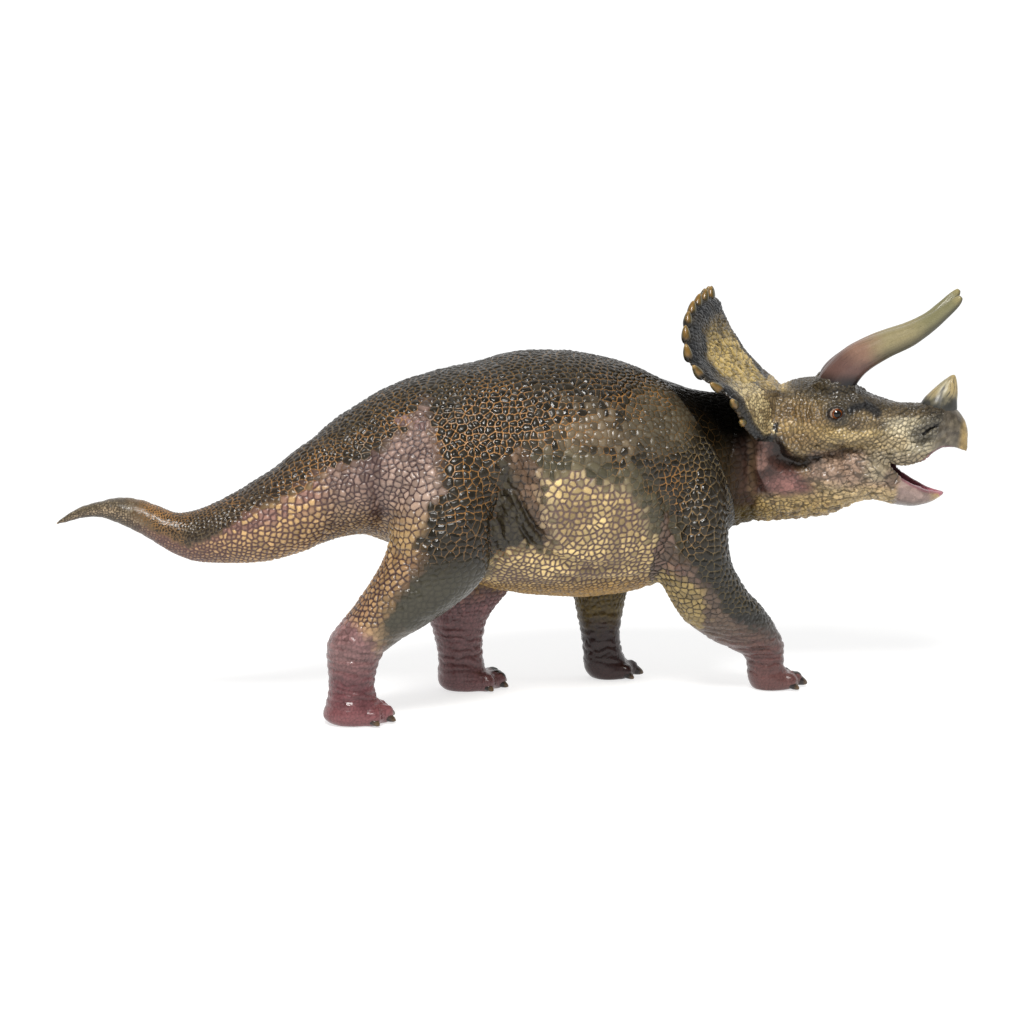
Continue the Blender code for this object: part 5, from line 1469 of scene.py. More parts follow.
def paint_head(p, h, hn, hr, g):
    x, y, z, ay, n1, n2, n3, w = (g[k] for k in ("x", "y", "z", "ay", "n1", "n2", "n3", "w"))
    n = len(p)
    frill, face, front, panel, f = g["frill"], g["face"], g["front"], g["panel"], g["f"]
    flat = np.stack([x, z], 1)
    tile = lambda c: np.tile(srgb(c), (n, 1))

    cell = mix(tile("#766548"), srgb("#574832"), ss(-0.2, 0.5, n1))
    # brighter ridge under the eye and along the snout
    rd, _ = seg_dist(flat, [(17, 85.0), (24, 84.6), (32, 82.4), (40, 82.0), (48, 83.2), (57, 85.6)])
    cell = mix(cell, srgb("#b39c6c"), ss(3.0, 0.4, rd + 0.9 * w) * 0.8)
    sn = ss(44, 52, x) * ss(74, 78, z) * ss(88.5, 86.5, z)
    cell = mix(cell, srgb("#b8ae94"), sn * 0.85)
    # top of the head, brow and snout
    top = np.interp(x, [8, 14, 20, 28, 36, 44, 52, 60, 66], [98.5, 97.2, 95.2, 94.0, 92.6, 91.0, 89.8, 89.0, 87.6])
    cell = mix(cell, srgb("#352e22"), ss(-3.4, 0.6, z - top + w) * 0.85)
    # the bright front of the frill runs out over the back of the head, with a dark crease below it
    out = ss(18.5, 14.5, x)
    cell = mix(cell, srgb("#9d8758"), ss(-2.2, -1.2, z - top + 0.3 * w) * out)
    # dark round the eye and in front of it
    r = np.hypot((x - 32.6) / 1.35, z - 89.0)
    cell = mix(cell, srgb("#3f3a30"), ss(4.8, 2.4, r + 0.6 * w) * 0.75)
    dd, _ = seg_dist(flat, [(36.8, 90.2), (40.6, 91.4), (44.6, 88.8)])
    cell = mix(cell, srgb("#15171c"), ss(2.2, 0.6, dd + 0.5 * w) * 0.9)
    nd, _ = seg_dist(flat, [(58.8, 82.3), (60.8, 83.9), (63.0, 85.0)])
    cell = mix(cell, srgb("#3c3831"), ss(5.6, 2.0, nd + 0.4 * w) * 0.85)
    cell = mix(cell, srgb("#0e0c0b"), ss(0.9, 0.3, nd))
    # cheek: brown behind the eye
    c = ss(12, 5, np.hypot(x - 21, (z - 85.5) * 1.3) + w)
    cell = mix(cell, srgb("#7d633c"), c * 0.6)
    # jaw
    low = g["low"].astype(float) * ss(-1, 1, np.where(g["low"], 5, -5))
    band = ss(4.2, 1.4, seg_dist(flat, [(38, 79.4), (44, 78.6), (51, 79.4)])[0] + 0.5 * w)
    cell = mix(cell, srgb("#a8946e"), band * 0.7)
    jaw = ss(78.5, 75.5, z + 0.4 * w + 0.06 * (x - 36) ** 2 * (x > 36) * 0.05) * ss(22, 26, x)
    jc = mix(tile("#7f6a5a"), srgb("#988460"), ss(69.5, 64.5, z + w + 0.1 * (x - 28)))
    jc = mix(jc, srgb("#7a5852"), ss(27, 19, x + 0.5 * w) * ss(61, 64, z))
    jc = mix(jc, srgb("#867a64"), ss(38, 44, x + w) * ss(66, 69, z))
    cell = mix(cell, jc, jaw)
    thr = ss(64.4, 60.6, z + 0.5 * w + 0.12 * (x - 26)) * ss(46, 40, x)
    cell = mix(cell, mix(tile("#967f52"), srgb("#6f5a3a"), ss(-0.2, 0.5, n2)), thr)
    corner = ss(3.6, 1.2, np.hypot(x - 49.4, (z - 68.4) * 0.8) + 0.3 * w)
    cell = mix(cell, srgb("#4b3a33"), corner * 0.7)
    # strands and hollow behind the jaw: the strands darken away from their lighter middle and the hollow under the
    # cheek is near black, both painted shade
    st = mix(tile("#3e2822"), srgb("#74504a"), ss(5.5, 1.5, np.hypot((x - 17) * 0.6, z - 66.6) + 0.6 * w))
    st = mix(st, srgb("#6b4f46"), ss(2.6, 0.8, seg_dist(flat, [(9.6, 81), (9.0, 77.0), (9.6, 73.0)])[0] + 0.3 * w))
    cell = mix(cell, st, g["strand"])
    cell = mix(cell, srgb("#1c1410"), g["hollow"] * 0.85)
    line = cell * 0.42
    # beak
    beak = g["beak"]
    bc = mix(tile("#736a5a"), srgb("#544c41"), ss(-0.3, 0.4, n2))
    bc = mix(bc, srgb("#8f7a74"), (z < 70).astype(float) * 0.8)
    bc = mix(bc, srgb("#4f4b44"), ss(61.6, 59.0, z) * 0.8)
    tip = np.maximum(ss(69.6, 72.0, x + 0.12 * (84 - z)) * (z > 70), ss(60.0, 65.0, x) * (z < 70))
    bc = mix(bc, srgb("#ae9259"), tip * 0.85)
    cell = mix(cell, bc, beak)
    line = mix(line, bc * 0.6, beak)
    # lips
    lip = np.maximum(ss(0.9, 0.3, g["lip_up"]) * ss(57, 60, x) * ss(69, 66, x), ss(1.0, 0.3, g["lip_low"]) * ss(51, 53, x)) \
        * (hn[:, 1] ** 2 < 0.6)
    cell = mix(cell, srgb("#84505c"), lip * 0.7)
    line = mix(line, srgb("#5f3a44"), lip * 0.7)
    # inside of the mouth, darkening towards the back as painted shade
    mouth = mix(tile("#7b4a52"), srgb("#2c1617"), ss(60, 44, x))
    m = g["inside"].astype(float)
    cell, line = mix(cell, mouth, m), mix(line, mouth * 0.7, m)
    # neck: near black and dark brown as painted shadow under the frill
    nk = ss(11.0, 6.0, x + 0.6 * n1) * (~frill) * (1 - g["strand"])
    neck_shaded = mix(tile("#0a0805"), srgb("#241d12"), ss(84, 70, z + 2 * n3 + w))
    neck_shaded = mix(neck_shaded, srgb("#3b2924"), ss(-2, 7, x) * ss(84, 78, z) * 0.8)
    neck_shaded = mix(neck_shaded, srgb("#463a1b"), ss(62.4, 58.2, z + 0.10 * (x + 6) + 0.8 * w))
    nk = nk * (1 - thr * ss(6, 11, x))
    cell, line = mix(cell, neck_shaded, nk), mix(line, mix(neck_shaded * 0.6, tile("#6a5532"), ss(66, 58, z) * 0.3), nk)
    ahead = (p - np.array(tuple(COLLAR_C))) @ np.array((math.cos(math.radians(COLLAR_TILT)), 0.0, math.sin(math.radians(COLLAR_TILT))))
    first = ss(9, 1, ahead + 1.5 * w) * nk * ss(94, 88, z)
    line = mix(line, srgb("#6e522e"), first * 0.2)
    # frill
    rimc = mix(tile("#1c1c1a"), srgb("#463a22"), ss(-0.3, 0.5, n1))
    lower = ss(104, 97, z + 0.32 * (ay - 22) + 0.6 * w) * (ay > 12) * ss(0.98, 0.86, f)
    fcol = mix(rimc, mix(tile("#bba97e"), srgb("#84714e"), ss(-0.3, 0.4, n2)), lower)
    pcol = mix(tile("#a89158"), srgb("#716038"), ss(-0.2, 0.6, n2))
    pcol = mix(pcol, srgb("#4a3f2a"), ss(108, 118, z + 0.5 * w))
    fcol = mix(fcol, pcol, panel)
    edge_d = ss(0.6, 2.4, np.abs(f - 0.93) * 30)
    fcol = mix(srgb("#1c1d20")[None] * np.ones((n, 1)), fcol, np.maximum(edge_d, 0.25))
    back = mix(tile("#2a2219"), srgb("#4a3c29"), ss(-0.2, 0.5, n1))
    fcol = np.where(face[:, None], fcol, back)
    m = frill.astype(float)
    cell, line = mix(cell, fcol, m), mix(line, fcol * 0.4, m)
    cell = cell * (0.72 + 0.56 * hr)[:, None]
    # lids
    for s in (-1, 1):
        r = np.hypot((x - 31.9) / 1.2, (z - 89.0 - 0.08 * (x - 31.9)) / 0.92)
        m = (y * s > 8) * ss(2.7, 2.2, r)
        cell, line = mix(cell, srgb("#2c251e"), m), mix(line, srgb("#1c1713"), m)
    rough = np.where(g["inside"], 0.3, 0.27) + 0.08 * (hr - 0.5) - 0.04 * beak
    return cell, line, rough


def skin_head(me):
    p, nrm = points(me), normals(me)
    n = len(p)
    h, hn = to_head(p), nrm @ HEAD_I[:3, :3].T
    g = head_zones(p, h, hn)
    x, y, z, ay = g["x"], g["y"], g["z"], g["ay"]
    sgn = np.where(y < 0, 0, 1)
    frill, neck, beak, inside = g["frill"], g["neck"], g["beak"], g["inside"]
    jaw = (~frill) & (~neck) & (z < np.interp(x, [9, 22, 30, 40, 50, 60], [60, 74, 76, 76, 70, 70]))
    face = (~frill) & (~neck) & (~jaw)
    seeds, sizes = [], []

    def take(got):
        seeds.append(got[0])
        sizes.append(got[1])

    xe, th, ft = trunk_coords(p)
    idx = np.nonzero(neck)[0]
    tt = np.linspace(0, math.pi, 200)
    dv = np.interp(tt, [0, 1.2, 2.2, 2.6, math.pi], [2.0, 2.2, 1.8, 1.6, 1.6])
    cum = np.concatenate([[0], np.cumsum(21.0 / dv[1:] * np.diff(tt))])
    v = np.interp(th[idx], tt, cum)
    rs = np.interp(np.interp(np.floor(v) + 0.5, cum, tt), tt, dv)
    take(lattice(idx, xe[idx] / rs, v + 300 * sgn[idx], rs, 201))
    # face: small scales in rings about the eye
    idx = np.nonzero(face)[0]
    rad = np.hypot(x[idx] - 33.0, z[idx] - 88.5)
    radii = np.linspace(0, 60, 300)
    step = np.interp(radii, [0, 5, 14, 30, 44], [0.8, 0.95, 1.2, 1.2, 1.0])
    vv = np.interp(rad, radii, np.cumsum(0.2 / step))
    size = np.interp(rad, radii, step)
    ang = np.arctan2(z[idx] - 88.5, x[idx] - 33.0)
    turned = np.abs(hn[idx, 1]) > 0.4
    u = np.where(turned, ang * np.maximum(rad, 2) / (size * 1.15), ay[idx] / size + 400)
    take(lattice(idx, u, np.where(turned, vv, x[idx] / 1.2 + 3000) + 100 * sgn[idx], size, 211, jitter=0.24, drop=0.05))
    idx = np.nonzero(jaw)[0]
    size = np.interp(x[idx], [9, 25, 40, 50], [1.5, 1.35, 1.2, 1.1])
    turned = np.abs(hn[idx, 1]) > 0.5
    take(lattice(idx, np.where(turned, z[idx], ay[idx] + 300) / 1.3 + 77 * sgn[idx], (x[idx] + 0.4 * z[idx]) / 1.35, size, 231, jitter=0.36))
    idx = np.nonzero(frill)[0]
    rad = np.hypot(y[idx], z[idx] - 92.0)
    ang = np.arctan2(z[idx] - 92.0, y[idx])
    take(lattice(idx, ang * 24 / 1.15, rad / 1.2 + np.where(hn[idx, 0] > 0, 0, 200), np.full(len(idx), 1.2), 221, jitter=0.3))
    seeds, sizes = np.concatenate(seeds), np.concatenate(sizes)
    q = p + 0.25 * np.stack([noise(p, 1.8, 95), noise(p, 1.8, 96), noise(p, 1.8, 97)], 1)
    e, own, size, _ = scale_field(q, seeds, sizes)
    hr = hash01(own, seed=7)
    cell, line, rough = paint_head(p, h, hn, hr, g)
    depth = np.full(n, 0.32) * (0.7 + 0.6 * hash01(own, seed=8))
    depth = np.where(neck, 0.12 + 0.1 * ss(66, 60, z), depth)
    depth = depth * (1 - 0.9 * beak)
    depth = np.where(jaw, depth * 0.75, depth)
    hgt = dome(e, size, depth) - 0.5 * depth * size
    edge = e / 0.5
    # folds round the eye and behind it, along the snout, winding creases on jaw and panel
    rad = np.hypot(x - 33.0, z - 88.8)
    m = face * ss(5.2, 7.0, rad) * ss(19, 13, rad) * ss(44, 38, x) * ss(0.2, 0.5, np.abs(hn[:, 1]))
    c = ripple(p, rad, 1.7, 301, 0.45)
    hgt += m * 0.5 * (c ** 0.7 - 0.6)
    edge = np.where(m > 0.4, np.minimum(edge, 0.1 + 1.1 * c), edge)
    m = face * ss(40, 46, x) * (1 - beak) * ss(0.2, 0.5, np.abs(hn[:, 1])) * (z > 73)
    c = ripple(p, z - 0.32 * (x - 45), 1.6, 305, 0.6)
    hgt += m * 0.5 * (c ** 0.7 - 0.6)
    edge = np.where(m > 0.4, np.minimum(edge, 0.1 + 1.1 * c), edge)
    m = jaw * (1 - beak) * (~inside)
    lean = np.stack([h[:, 0] * 0.75 + h[:, 2] * 0.5, h[:, 1] * 0.6, h[:, 2] * 1.1 - 0.2 * h[:, 0]], 1)
    c = groove(lean, 2.0, 0.13, 321)
    hgt += m * 0.38 * (c - 0.7)
    edge = np.where(m > 0.4, np.minimum(edge * 1.4 + 0.1, 0.1 + 0.9 * c), edge)
    c = ripple(p, x + 0.1 * z + 0.3 * noise(p, 2.5, 308), 0.7, 309, 0.25)
    hgt += beak * 0.035 * (c - 0.5)
    edge = np.where(beak > 0.5, 0.25 + 0.6 * c, edge)
    m = g["panel"]
    c = groove(h * np.array((1.0, 0.8, 1.3)), 1.5, 0.16, 341)
    hgt = hgt * (1 - 0.6 * m) + m * 0.5 * (c - 0.6)
    edge = np.where(m > 0.4, 0.02 + 0.9 * c, edge)
    hgt += 0.05 * noise(p, 0.8, 99)
    # painted shade in low places of the relief and painted highlight on its high places
    relief_shading = ss(-0.32, 0.2, hgt) * (1 - beak) * (~inside) + (beak > 0.01) * 0.6 * beak + inside * 0.6
    cell = cell * ((0.46 + 0.8 * relief_shading) * np.where(jaw | neck, 1.08, 0.84))[:, None]
    # smooth strands behind the cheek
    sm = g["strand"]
    hgt *= 1 - 0.8 * sm
    edge = np.where(sm > 0.5, np.maximum(edge, 0.6), edge)
    hgt = np.where(inside, 0.03 * noise(p, 1.2, 5), hgt)
    p = p + nrm * hgt[:, None]
    p = open_eyes(p, h, hn)
    set_points(me, p)
    put_attrs(me, cell, line, np.clip(edge, 0, 1), rough)


HEAD_SKIN = skin_material("head_skin", 0.1, 0.5, 0.00004, 0.22)
NECK_SKIN = skin_material("neck_paint", 0.1, 0.5, 0.00004, 0.22, spec=0.1)


def drop_scraps(me, share=0.05):
    """Removes the thin loose scraps that two neighbouring cuts leave along their shared line."""
    n = len(me.vertices)
    e = np.zeros(len(me.edges) * 2, np.int32)
    me.edges.foreach_get("vertices", e)
    a, b = e[0::2], e[1::2]
    label = np.arange(n)
    while True:
        low = np.minimum(label[a], label[b])
        new = label.copy()
        np.minimum.at(new, a, low)
        np.minimum.at(new, b, low)
        new = new[new]
        if np.array_equal(new, label):
            break
        label = new
    count = np.bincount(label, minlength=n)
    small = count[label] < share * count.max()
    if not small.any():
        return
    bm = bmesh.new()
    bm.from_mesh(me)
    bm.verts.ensure_lookup_table()
    bmesh.ops.delete(bm, geom=[bm.verts[i] for i in np.nonzero(small)[0]], context='VERTS')
    bm.to_mesh(me)
    bm.free()


def build_head():
    me = head_mesh()
    fill_creases(me, 18)
    relax(me, 2, 0.3)
    sculpt_head(me)
    me = evaluated(me, ('SUBSURF', {"levels": 1, "render_levels": 1}))
    skin_head(me)
    me = cut(me, mesh_of("behind", seam_block(-60, 0.0)), 'DIFFERENCE')
    drum = drum_solid(JAW_ARC + 0.25)
    rings = [trunk_ring(TRUNK[-2], -1.6, -6.0, 64)] + [trunk_ring(r, -1.6, 0.0, 64) for r in catmull(NECK, 2)]
    tool = mesh_of("neck_tool", loft(rings))
    tool = cut(tool, mesh_of("head_bay", box_solid((8.1, -60, 61.55), (90, 60, 130), HEAD)), 'DIFFERENCE')
    tool = cut(tool, drum, 'DIFFERENCE')
    neck = cut(me, tool, 'INTERSECT')
    rest = cut(me, tool, 'DIFFERENCE')
    pieces = [("neck_skin", neck, "head", ("neck",), "neck_skin")]
    jaw_flat = LIP_LOW + [(58.2, 69.0), (85.0, 71.0), (85.0, 35.0), (9.15, 35.0)]
    for name, flat, body, nodes, slot in (
            ("jaw_skin", jaw_flat, "jaw", ("lower_jaw",), "jaw_skin"),
            ("cheek_rear", WEB_REAR, None, (), "head_skin"), ("cheek_front", WEB_FRONT, None, (), "head_skin")):
        region = cut(mesh_of(name + "_tool", prism(flat)), drum, 'INTERSECT')
        pieces.append((name, cut(rest, region, 'INTERSECT'), body, nodes, slot))
        rest = cut(rest, region, 'DIFFERENCE')
    pieces.append(("skull_skin", rest, "head", ("skull",), "head_skin"))
    for name, piece, body, nodes, slot in pieces:
        drop_scraps(piece)
        mend_attrs(piece)
        ob = to_object(name, piece, body, nodes, NECK_SKIN if name == "neck_skin" else HEAD_SKIN)
        if body is None:
            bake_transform(ob)


build_head()


# ------------------------------------------------------------------ horns
def smooth_material(name, line_lo=0.1, line_hi=0.5, coat=0.0):
    """Painted smooth parts: body colour with darker fine grooves."""
    return skin_material(name, line_lo, line_hi, 0.00002, 0.14, coat)


HORN_MAT = smooth_material("horn_paint")


def horn_object(name, node, pts, radii, flat, paint, grain, n=96, per=14):
    rows = np.array(catmull([tuple(p) + (r,) for p, r in zip(pts, radii)], per))
    c, r = rows[:, :3], rows[:, 3]
    d = np.gradient(c, axis=0)
    d /= np.linalg.norm(d, axis=1)[:, None]
    side = np.array((0.0, 1.0, 0.0))[None] - d * d[:, 1:2]
    side /= np.linalg.norm(side, axis=1)[:, None]
    up = np.cross(d, side)
    a = 2 * np.pi * np.arange(n) / n
    rings, s_all, a_all = [], [], []
    run = np.concatenate([[0], np.cumsum(np.linalg.norm(np.diff(c, axis=0), axis=1))])
    for k in range(len(c)):
        rings.append(from_head(c[k] + side[k] * (flat * r[k] * np.cos(a))[:, None] + up[k] * (r[k] * np.sin(a))[:, None]))
        s_all.append(np.full(n, run[k] / run[-1]))
        a_all.append(a)
    v, f = loft(rings)
    me = mesh_of(name, (v, f))
    p, nrm = points(me), normals(me)
    s, a = np.concatenate(s_all), np.concatenate(a_all)
    h = to_head(p)
    hgt, e = grain(p, s, a, run[-1])
    set_points(me, p + nrm * hgt[:, None])
    cell, line = paint(p, h, s, a)
    put_attrs(me, cell, line, np.clip(e, 0, 1), np.full(len(p), 0.32))
    return to_object(name, me, "head", (node,), HORN_MAT)


def brow_grain(p, s, a, length):
    t = a * 9 + 1.5 * noise(np.stack([s * length, 3 * np.cos(a), 3 * np.sin(a)], 1), 7.0, 401)
    c = np.abs(np.sin(t * 1.5 + 0.8 * noise(np.stack([s * length * 0.4, 3 * np.cos(a), 3 * np.sin(a)], 1), 1.2, 402)))
    nn = noise(np.stack([s * length * 0.3, 5 * np.cos(a), 5 * np.sin(a)], 1), 0.8, 403)
    hgt = 0.09 * (c - 0.5) + 0.10 * noise(p, 5.0, 404) + 0.03 * nn
    return hgt * ss(1.0, 0.97, s), 0.25 + 0.75 * np.clip(0.55 * c + 0.5 * (nn + 0.6), 0, 1)


def brow_paint(p, h, s, a):
    n = len(p)
    low = -np.sin(a)                     # the underside of the horn
    n1 = noise(p, 4.0, 411, 2)
    # painted shade: darker and bluer on the underside of the horn
    cell = mix(np.tile(srgb("#161212"), (n, 1)), srgb("#0f1014"), ss(0.0, 0.8, low))
    cell = mix(cell, srgb("#5b423b"), ss(0.08, 0.2, s + 0.03 * n1 - 0.07 * low))
    cell = mix(cell, srgb("#7d6050"), ss(0.22, 0.36, s + 0.04 * n1 - 0.05 * low))
    cell = mix(cell, srgb("#857b5a"), ss(0.32, 0.5, s + 0.04 * n1))
    cell = mix(cell, srgb("#736f50"), ss(0.6, 0.8, s))
    cell = mix(cell, srgb("#8a8058"), ss(0.93, 0.99, s))
    # painted shade along the underside of the horn
    cell = mix(cell, srgb("#2f2d22"), ss(-0.1, 0.9, low) * ss(0.25, 0.45, s) * 0.75)
    line = cell * 0.4
    return cell, line


for name, node, mirror in (("brow_horn_right_grained", "brow_horn_right", False), ("brow_horn_left_grained", "brow_horn_left", True)):
    pts = []
    for r in BROW_HORN:
        dz = 1.3 * min(1.0, (126.5 - r[2]) / 9.0) * min(1.0, max(0.0, (r[2] - 97.8) / 5.0)) if mirror else 0.0
        pts.append((r[0], -r[1] if mirror else r[1], r[2] - dz))
    last = np.array(pts[-1]) + (np.array(pts[-1]) - np.array(pts[-2])) * 0.12
    horn_object(name, node, pts + [tuple(last)], [r[3] for r in BROW_HORN] + [0.25], 0.92, brow_paint, brow_grain)


def nose_grain(p, s, a, length):
    q = np.stack([s * length * 0.5, 3 * np.cos(a), 3 * np.sin(a)], 1)
    c = np.abs(np.sin(a * 7 + 2.2 * noise(q, 1.6, 421)))
    hgt = 0.12 * (c - 0.5) * ss(1.0, 0.9, s) + 0.12 * noise(p, 2.4, 422)
    return hgt * ss(1.0, 0.95, s), 0.1 + 0.9 * np.clip(c + 0.2 * noise(q, 0.7, 423), 0, 1)


def nose_paint(p, h, s, a):
    n = len(p)
    n1 = noise(p, 1.6, 431, 2)
    cell = np.tile(srgb("#33332f"), (n, 1))
    cell = mix(cell, srgb("#9c9376"), ss(0.22, 0.5, s + 0.12 * n1))
    edge = ss(0.2, 0.9, np.abs(h[:, 0] - 64.6) / 3.2)
    cell = mix(cell, srgb("#a18a58"), edge * ss(0.3, 0.5, s) * 0.6)
    cell = mix(cell, srgb("#a8935f"), ss(0.84, 0.95, s))
    line = np.tile(srgb("#3b3a36"), (n, 1))
    line = mix(line, cell * 0.8, ss(0.8, 0.92, s))
    return cell, line


def nose_object():
    rows = catmull([(x, 0.0, z, rx, ry) for z, x, rx, ry in NOSE_HORN] + [(67.8, 0.0, 99.9, 0.3, 0.3)], 14)
    n = 80
    a = 2 * np.pi * np.arange(n) / n
    rings, s_all, a_all = [], [], []
    for k, (x, y, z, rx, ry) in enumerate(rows):
        rings.append(from_head(np.stack([x + rx * np.cos(a), ry * np.sin(a), np.full(n, z)], 1)))
        s_all.append(np.full(n, k / (len(rows) - 1)))
        a_all.append(a)
    me = mesh_of("nose_horn_grained", loft(rings))
    p, nrm = points(me), normals(me)
    s, a = np.concatenate(s_all), np.concatenate(a_all)
    hgt, e = nose_grain(p, s, a, 13.0)
    set_points(me, p + nrm * hgt[:, None])
    cell, line = nose_paint(p, to_head(p), s, a)
    put_attrs(me, cell, line, np.clip(e, 0, 1), np.full(len(p), 0.34))
    to_object("nose_horn_grained", me, "head", ("nose_horn",), HORN_MAT)


nose_object()


# ------------------------------------------------------------------ studs round the frill
def frill_studs():
    total, attrs = [], []
    aa = np.linspace(math.radians(90), math.radians(-40), 900)
    y, z = rim_point(aa)
    x = frill_x(y, z)
    run = np.concatenate([[0], np.cumsum(np.sqrt(np.diff(x) ** 2 + np.diff(y) ** 2 + np.diff(z) ** 2))])
    at = 1.6
    for k in range(12):
        i = min(int(np.searchsorted(run, at)), 895)
        if at > run[-1] - 1.5:
            break
        t = np.array((x[i + 3] - x[i - 3], y[i + 3] - y[i - 3], z[i + 3] - z[i - 3])) if i > 3 else np.array((0.0, 1.0, 0.0))
        t /= np.linalg.norm(t)
        out = np.array((-0.25, y[i], (z[i] - 92.0) * 1.1))
        out -= t * (out @ t)
        out /= np.linalg.norm(out)
        lean = np.interp(k, [0, 2, 5, 11], [0.2, 0.75, 1.1, 1.3])
        ax = out - lean * t
        ax /= np.linalg.norm(ax)
        third = np.cross(t, ax)
        third /= np.linalg.norm(third)
        across = np.cross(ax, third)
        grow = np.interp(k, [0, 3, 8, 11], [0.92, 1.05, 1.05, 0.8])
        c = np.array((x[i] - 0.9, y[i], z[i])) + out * 0.1
        v, f = ball((0, 0, 0), (1.0, 1.0, 1.0), None, 22, 16)
        # teardrop: wide at its foot, drawn out to a blunt tip
        zz = v[:, 2]
        w = np.sqrt(np.maximum(0, 1 - zz ** 2)) * (1.0 - 0.42 * (zz + 1) * 0.5)
        ang = np.arctan2(v[:, 1], v[:, 0])
        lx, ly, lz = w * np.cos(ang) * 1.75 * grow, w * np.sin(ang) * 1.7 * grow, zz * 2.8 * grow + 0.35
        q = c + lx[:, None] * across + ly[:, None] * third + lz[:, None] * ax
        for s in (-1, 1):
            hq = q * np.array((1.0, s, 1.0))
            total.append((from_head(hq), f if s > 0 else [r[::-1] for r in f]))
            attrs.append(np.stack([zz, np.sin(ang) * (1.0 if ly.sum() > -1e9 else 0.0), np.full(len(zz), hash01(k, s + 5))], 1))
        at += np.interp(k, [0, 4, 7, 11], [5.6, 6.4, 7.4, 7.0])
    me = mesh_of("frill_studs", *total)
    at = np.vstack(attrs)
    p = points(me)
    n1 = noise(p, 1.2, 441, 2)
    n = len(p)
    cell = mix(np.tile(srgb("#4b452b"), (n, 1)), srgb("#735626"), ss(0.2, 0.9, 1 - np.abs(at[:, 1]) + 0.35 * n1 + 0.3 * (at[:, 2] - 0.5)))
    cell = mix(cell, srgb("#8f7340"), ss(0.6, 0.95, at[:, 0]))
    cell = mix(cell, srgb("#1f1c15"), ss(0.15, -0.5, at[:, 0] + 0.3 * n1))
    put_attrs(me, cell, cell * 0.5, np.clip(0.5 + 0.5 * n1, 0, 1), np.full(n, 0.24))
    to_object("frill_studs", me, "head", (), HORN_MAT)


frill_studs()


# ------------------------------------------------------------------ eyes, tongue, claws
def eye_material():
    m, nt, b = nodes_of("eye_glaze")
    at = add(nt, "ShaderNodeAttribute", attribute_name="cell")
    nt.links.new(at.outputs["Color"], b.inputs["Base Color"])
    b.inputs["Roughness"].default_value = 0.06
    b.inputs["Specular IOR Level"].default_value = 0.35
    b.inputs["Coat Weight"].default_value = 0.2
    b.inputs["Coat Roughness"].default_value = 0.02
    return m


EYE_MAT = eye_material()
for name, node, s in (("eyeball_right", "eye_right", -1), ("eyeball_left", "eye_left", 1)):
    nu, nv = 96, 64
    look = Vector((0.24, s * 1.0, 0.06)).normalized()
    turn = np.array(look.to_track_quat('Z', 'Y').to_matrix())
    v, f = ball((0, 0, 0), (EYE_R,) * 3, None, nu, nv)
    r = np.hypot(v[:, 0], v[:, 1])
    ang = np.arctan2(v[:, 1], v[:, 0])
    bulge = ss(1.5, 0.0, r) * 0.16 * (v[:, 2] > 0)
    v = v + np.stack([0 * r, 0 * r, bulge], 1)
    streak = noise(np.stack([2 * np.cos(ang), 2 * np.sin(ang), r * 0.3], 1), 0.22, 451)
    col = np.tile(srgb("#9c8878"), (len(v), 1))
    col = mix(col, srgb("#3c1a0e"), ss(1.72, 1.60, r))
    iris = mix(np.tile(srgb("#94501c"), (len(v), 1)), srgb("#5c2a0e"), ss(-0.4, 0.5, streak))
    col = mix(col, iris, ss(1.56, 1.42, r))
    col = mix(col, srgb("#030202"), ss(1.24, 1.12, r))
    col = np.where((v[:, 2] > 0)[:, None], col, srgb("#b8a898"))
    q = v @ turn.T + np.array((EYE_POS[0], s * EYE_POS[1], EYE_POS[2]))
    me = mesh_of(name, (from_head(q), f))
    put_attrs(me, col, col, np.ones(len(v)), np.full(len(v), 0.1))
    to_object(name, me, "head", (node,), EYE_MAT)


def tongue_object():
    rows = catmull(TONGUE, 8)
    n = 40
    rings = [head_ring(x, z + 1.3, z - 0.6, z, half, 2.2, n=n) for x, z, half in rows]
    rings += [np.array(hp(rows[-1][0] + 0.5, 0, rows[-1][1])) + (rings[-1] - rings[-1].mean(0)) * 0.4]
    me = mesh_of("tongue_skin", loft(rings))
    p, nrm = points(me), normals(me)
    h = to_head(p)
    d = -0.35 * np.exp(-(h[:, 1] / 0.7) ** 2) * (nrm[:, 2] > 0.3) + 0.05 * noise(p, 0.6, 461)
    set_points(me, p + nrm * d[:, None])
    n = len(p)
    cell = mix(np.tile(srgb("#a0606a"), (n, 1)), srgb("#7c3f48"), ss(-0.3, 0.5, noise(p, 2.0, 462, 2)))
    put_attrs(me, cell, cell * 0.7, np.full(n, 0.8), np.full(n, 0.26))
    to_object("tongue_skin", me, "jaw", ("tongue",), HORN_MAT)


tongue_object()


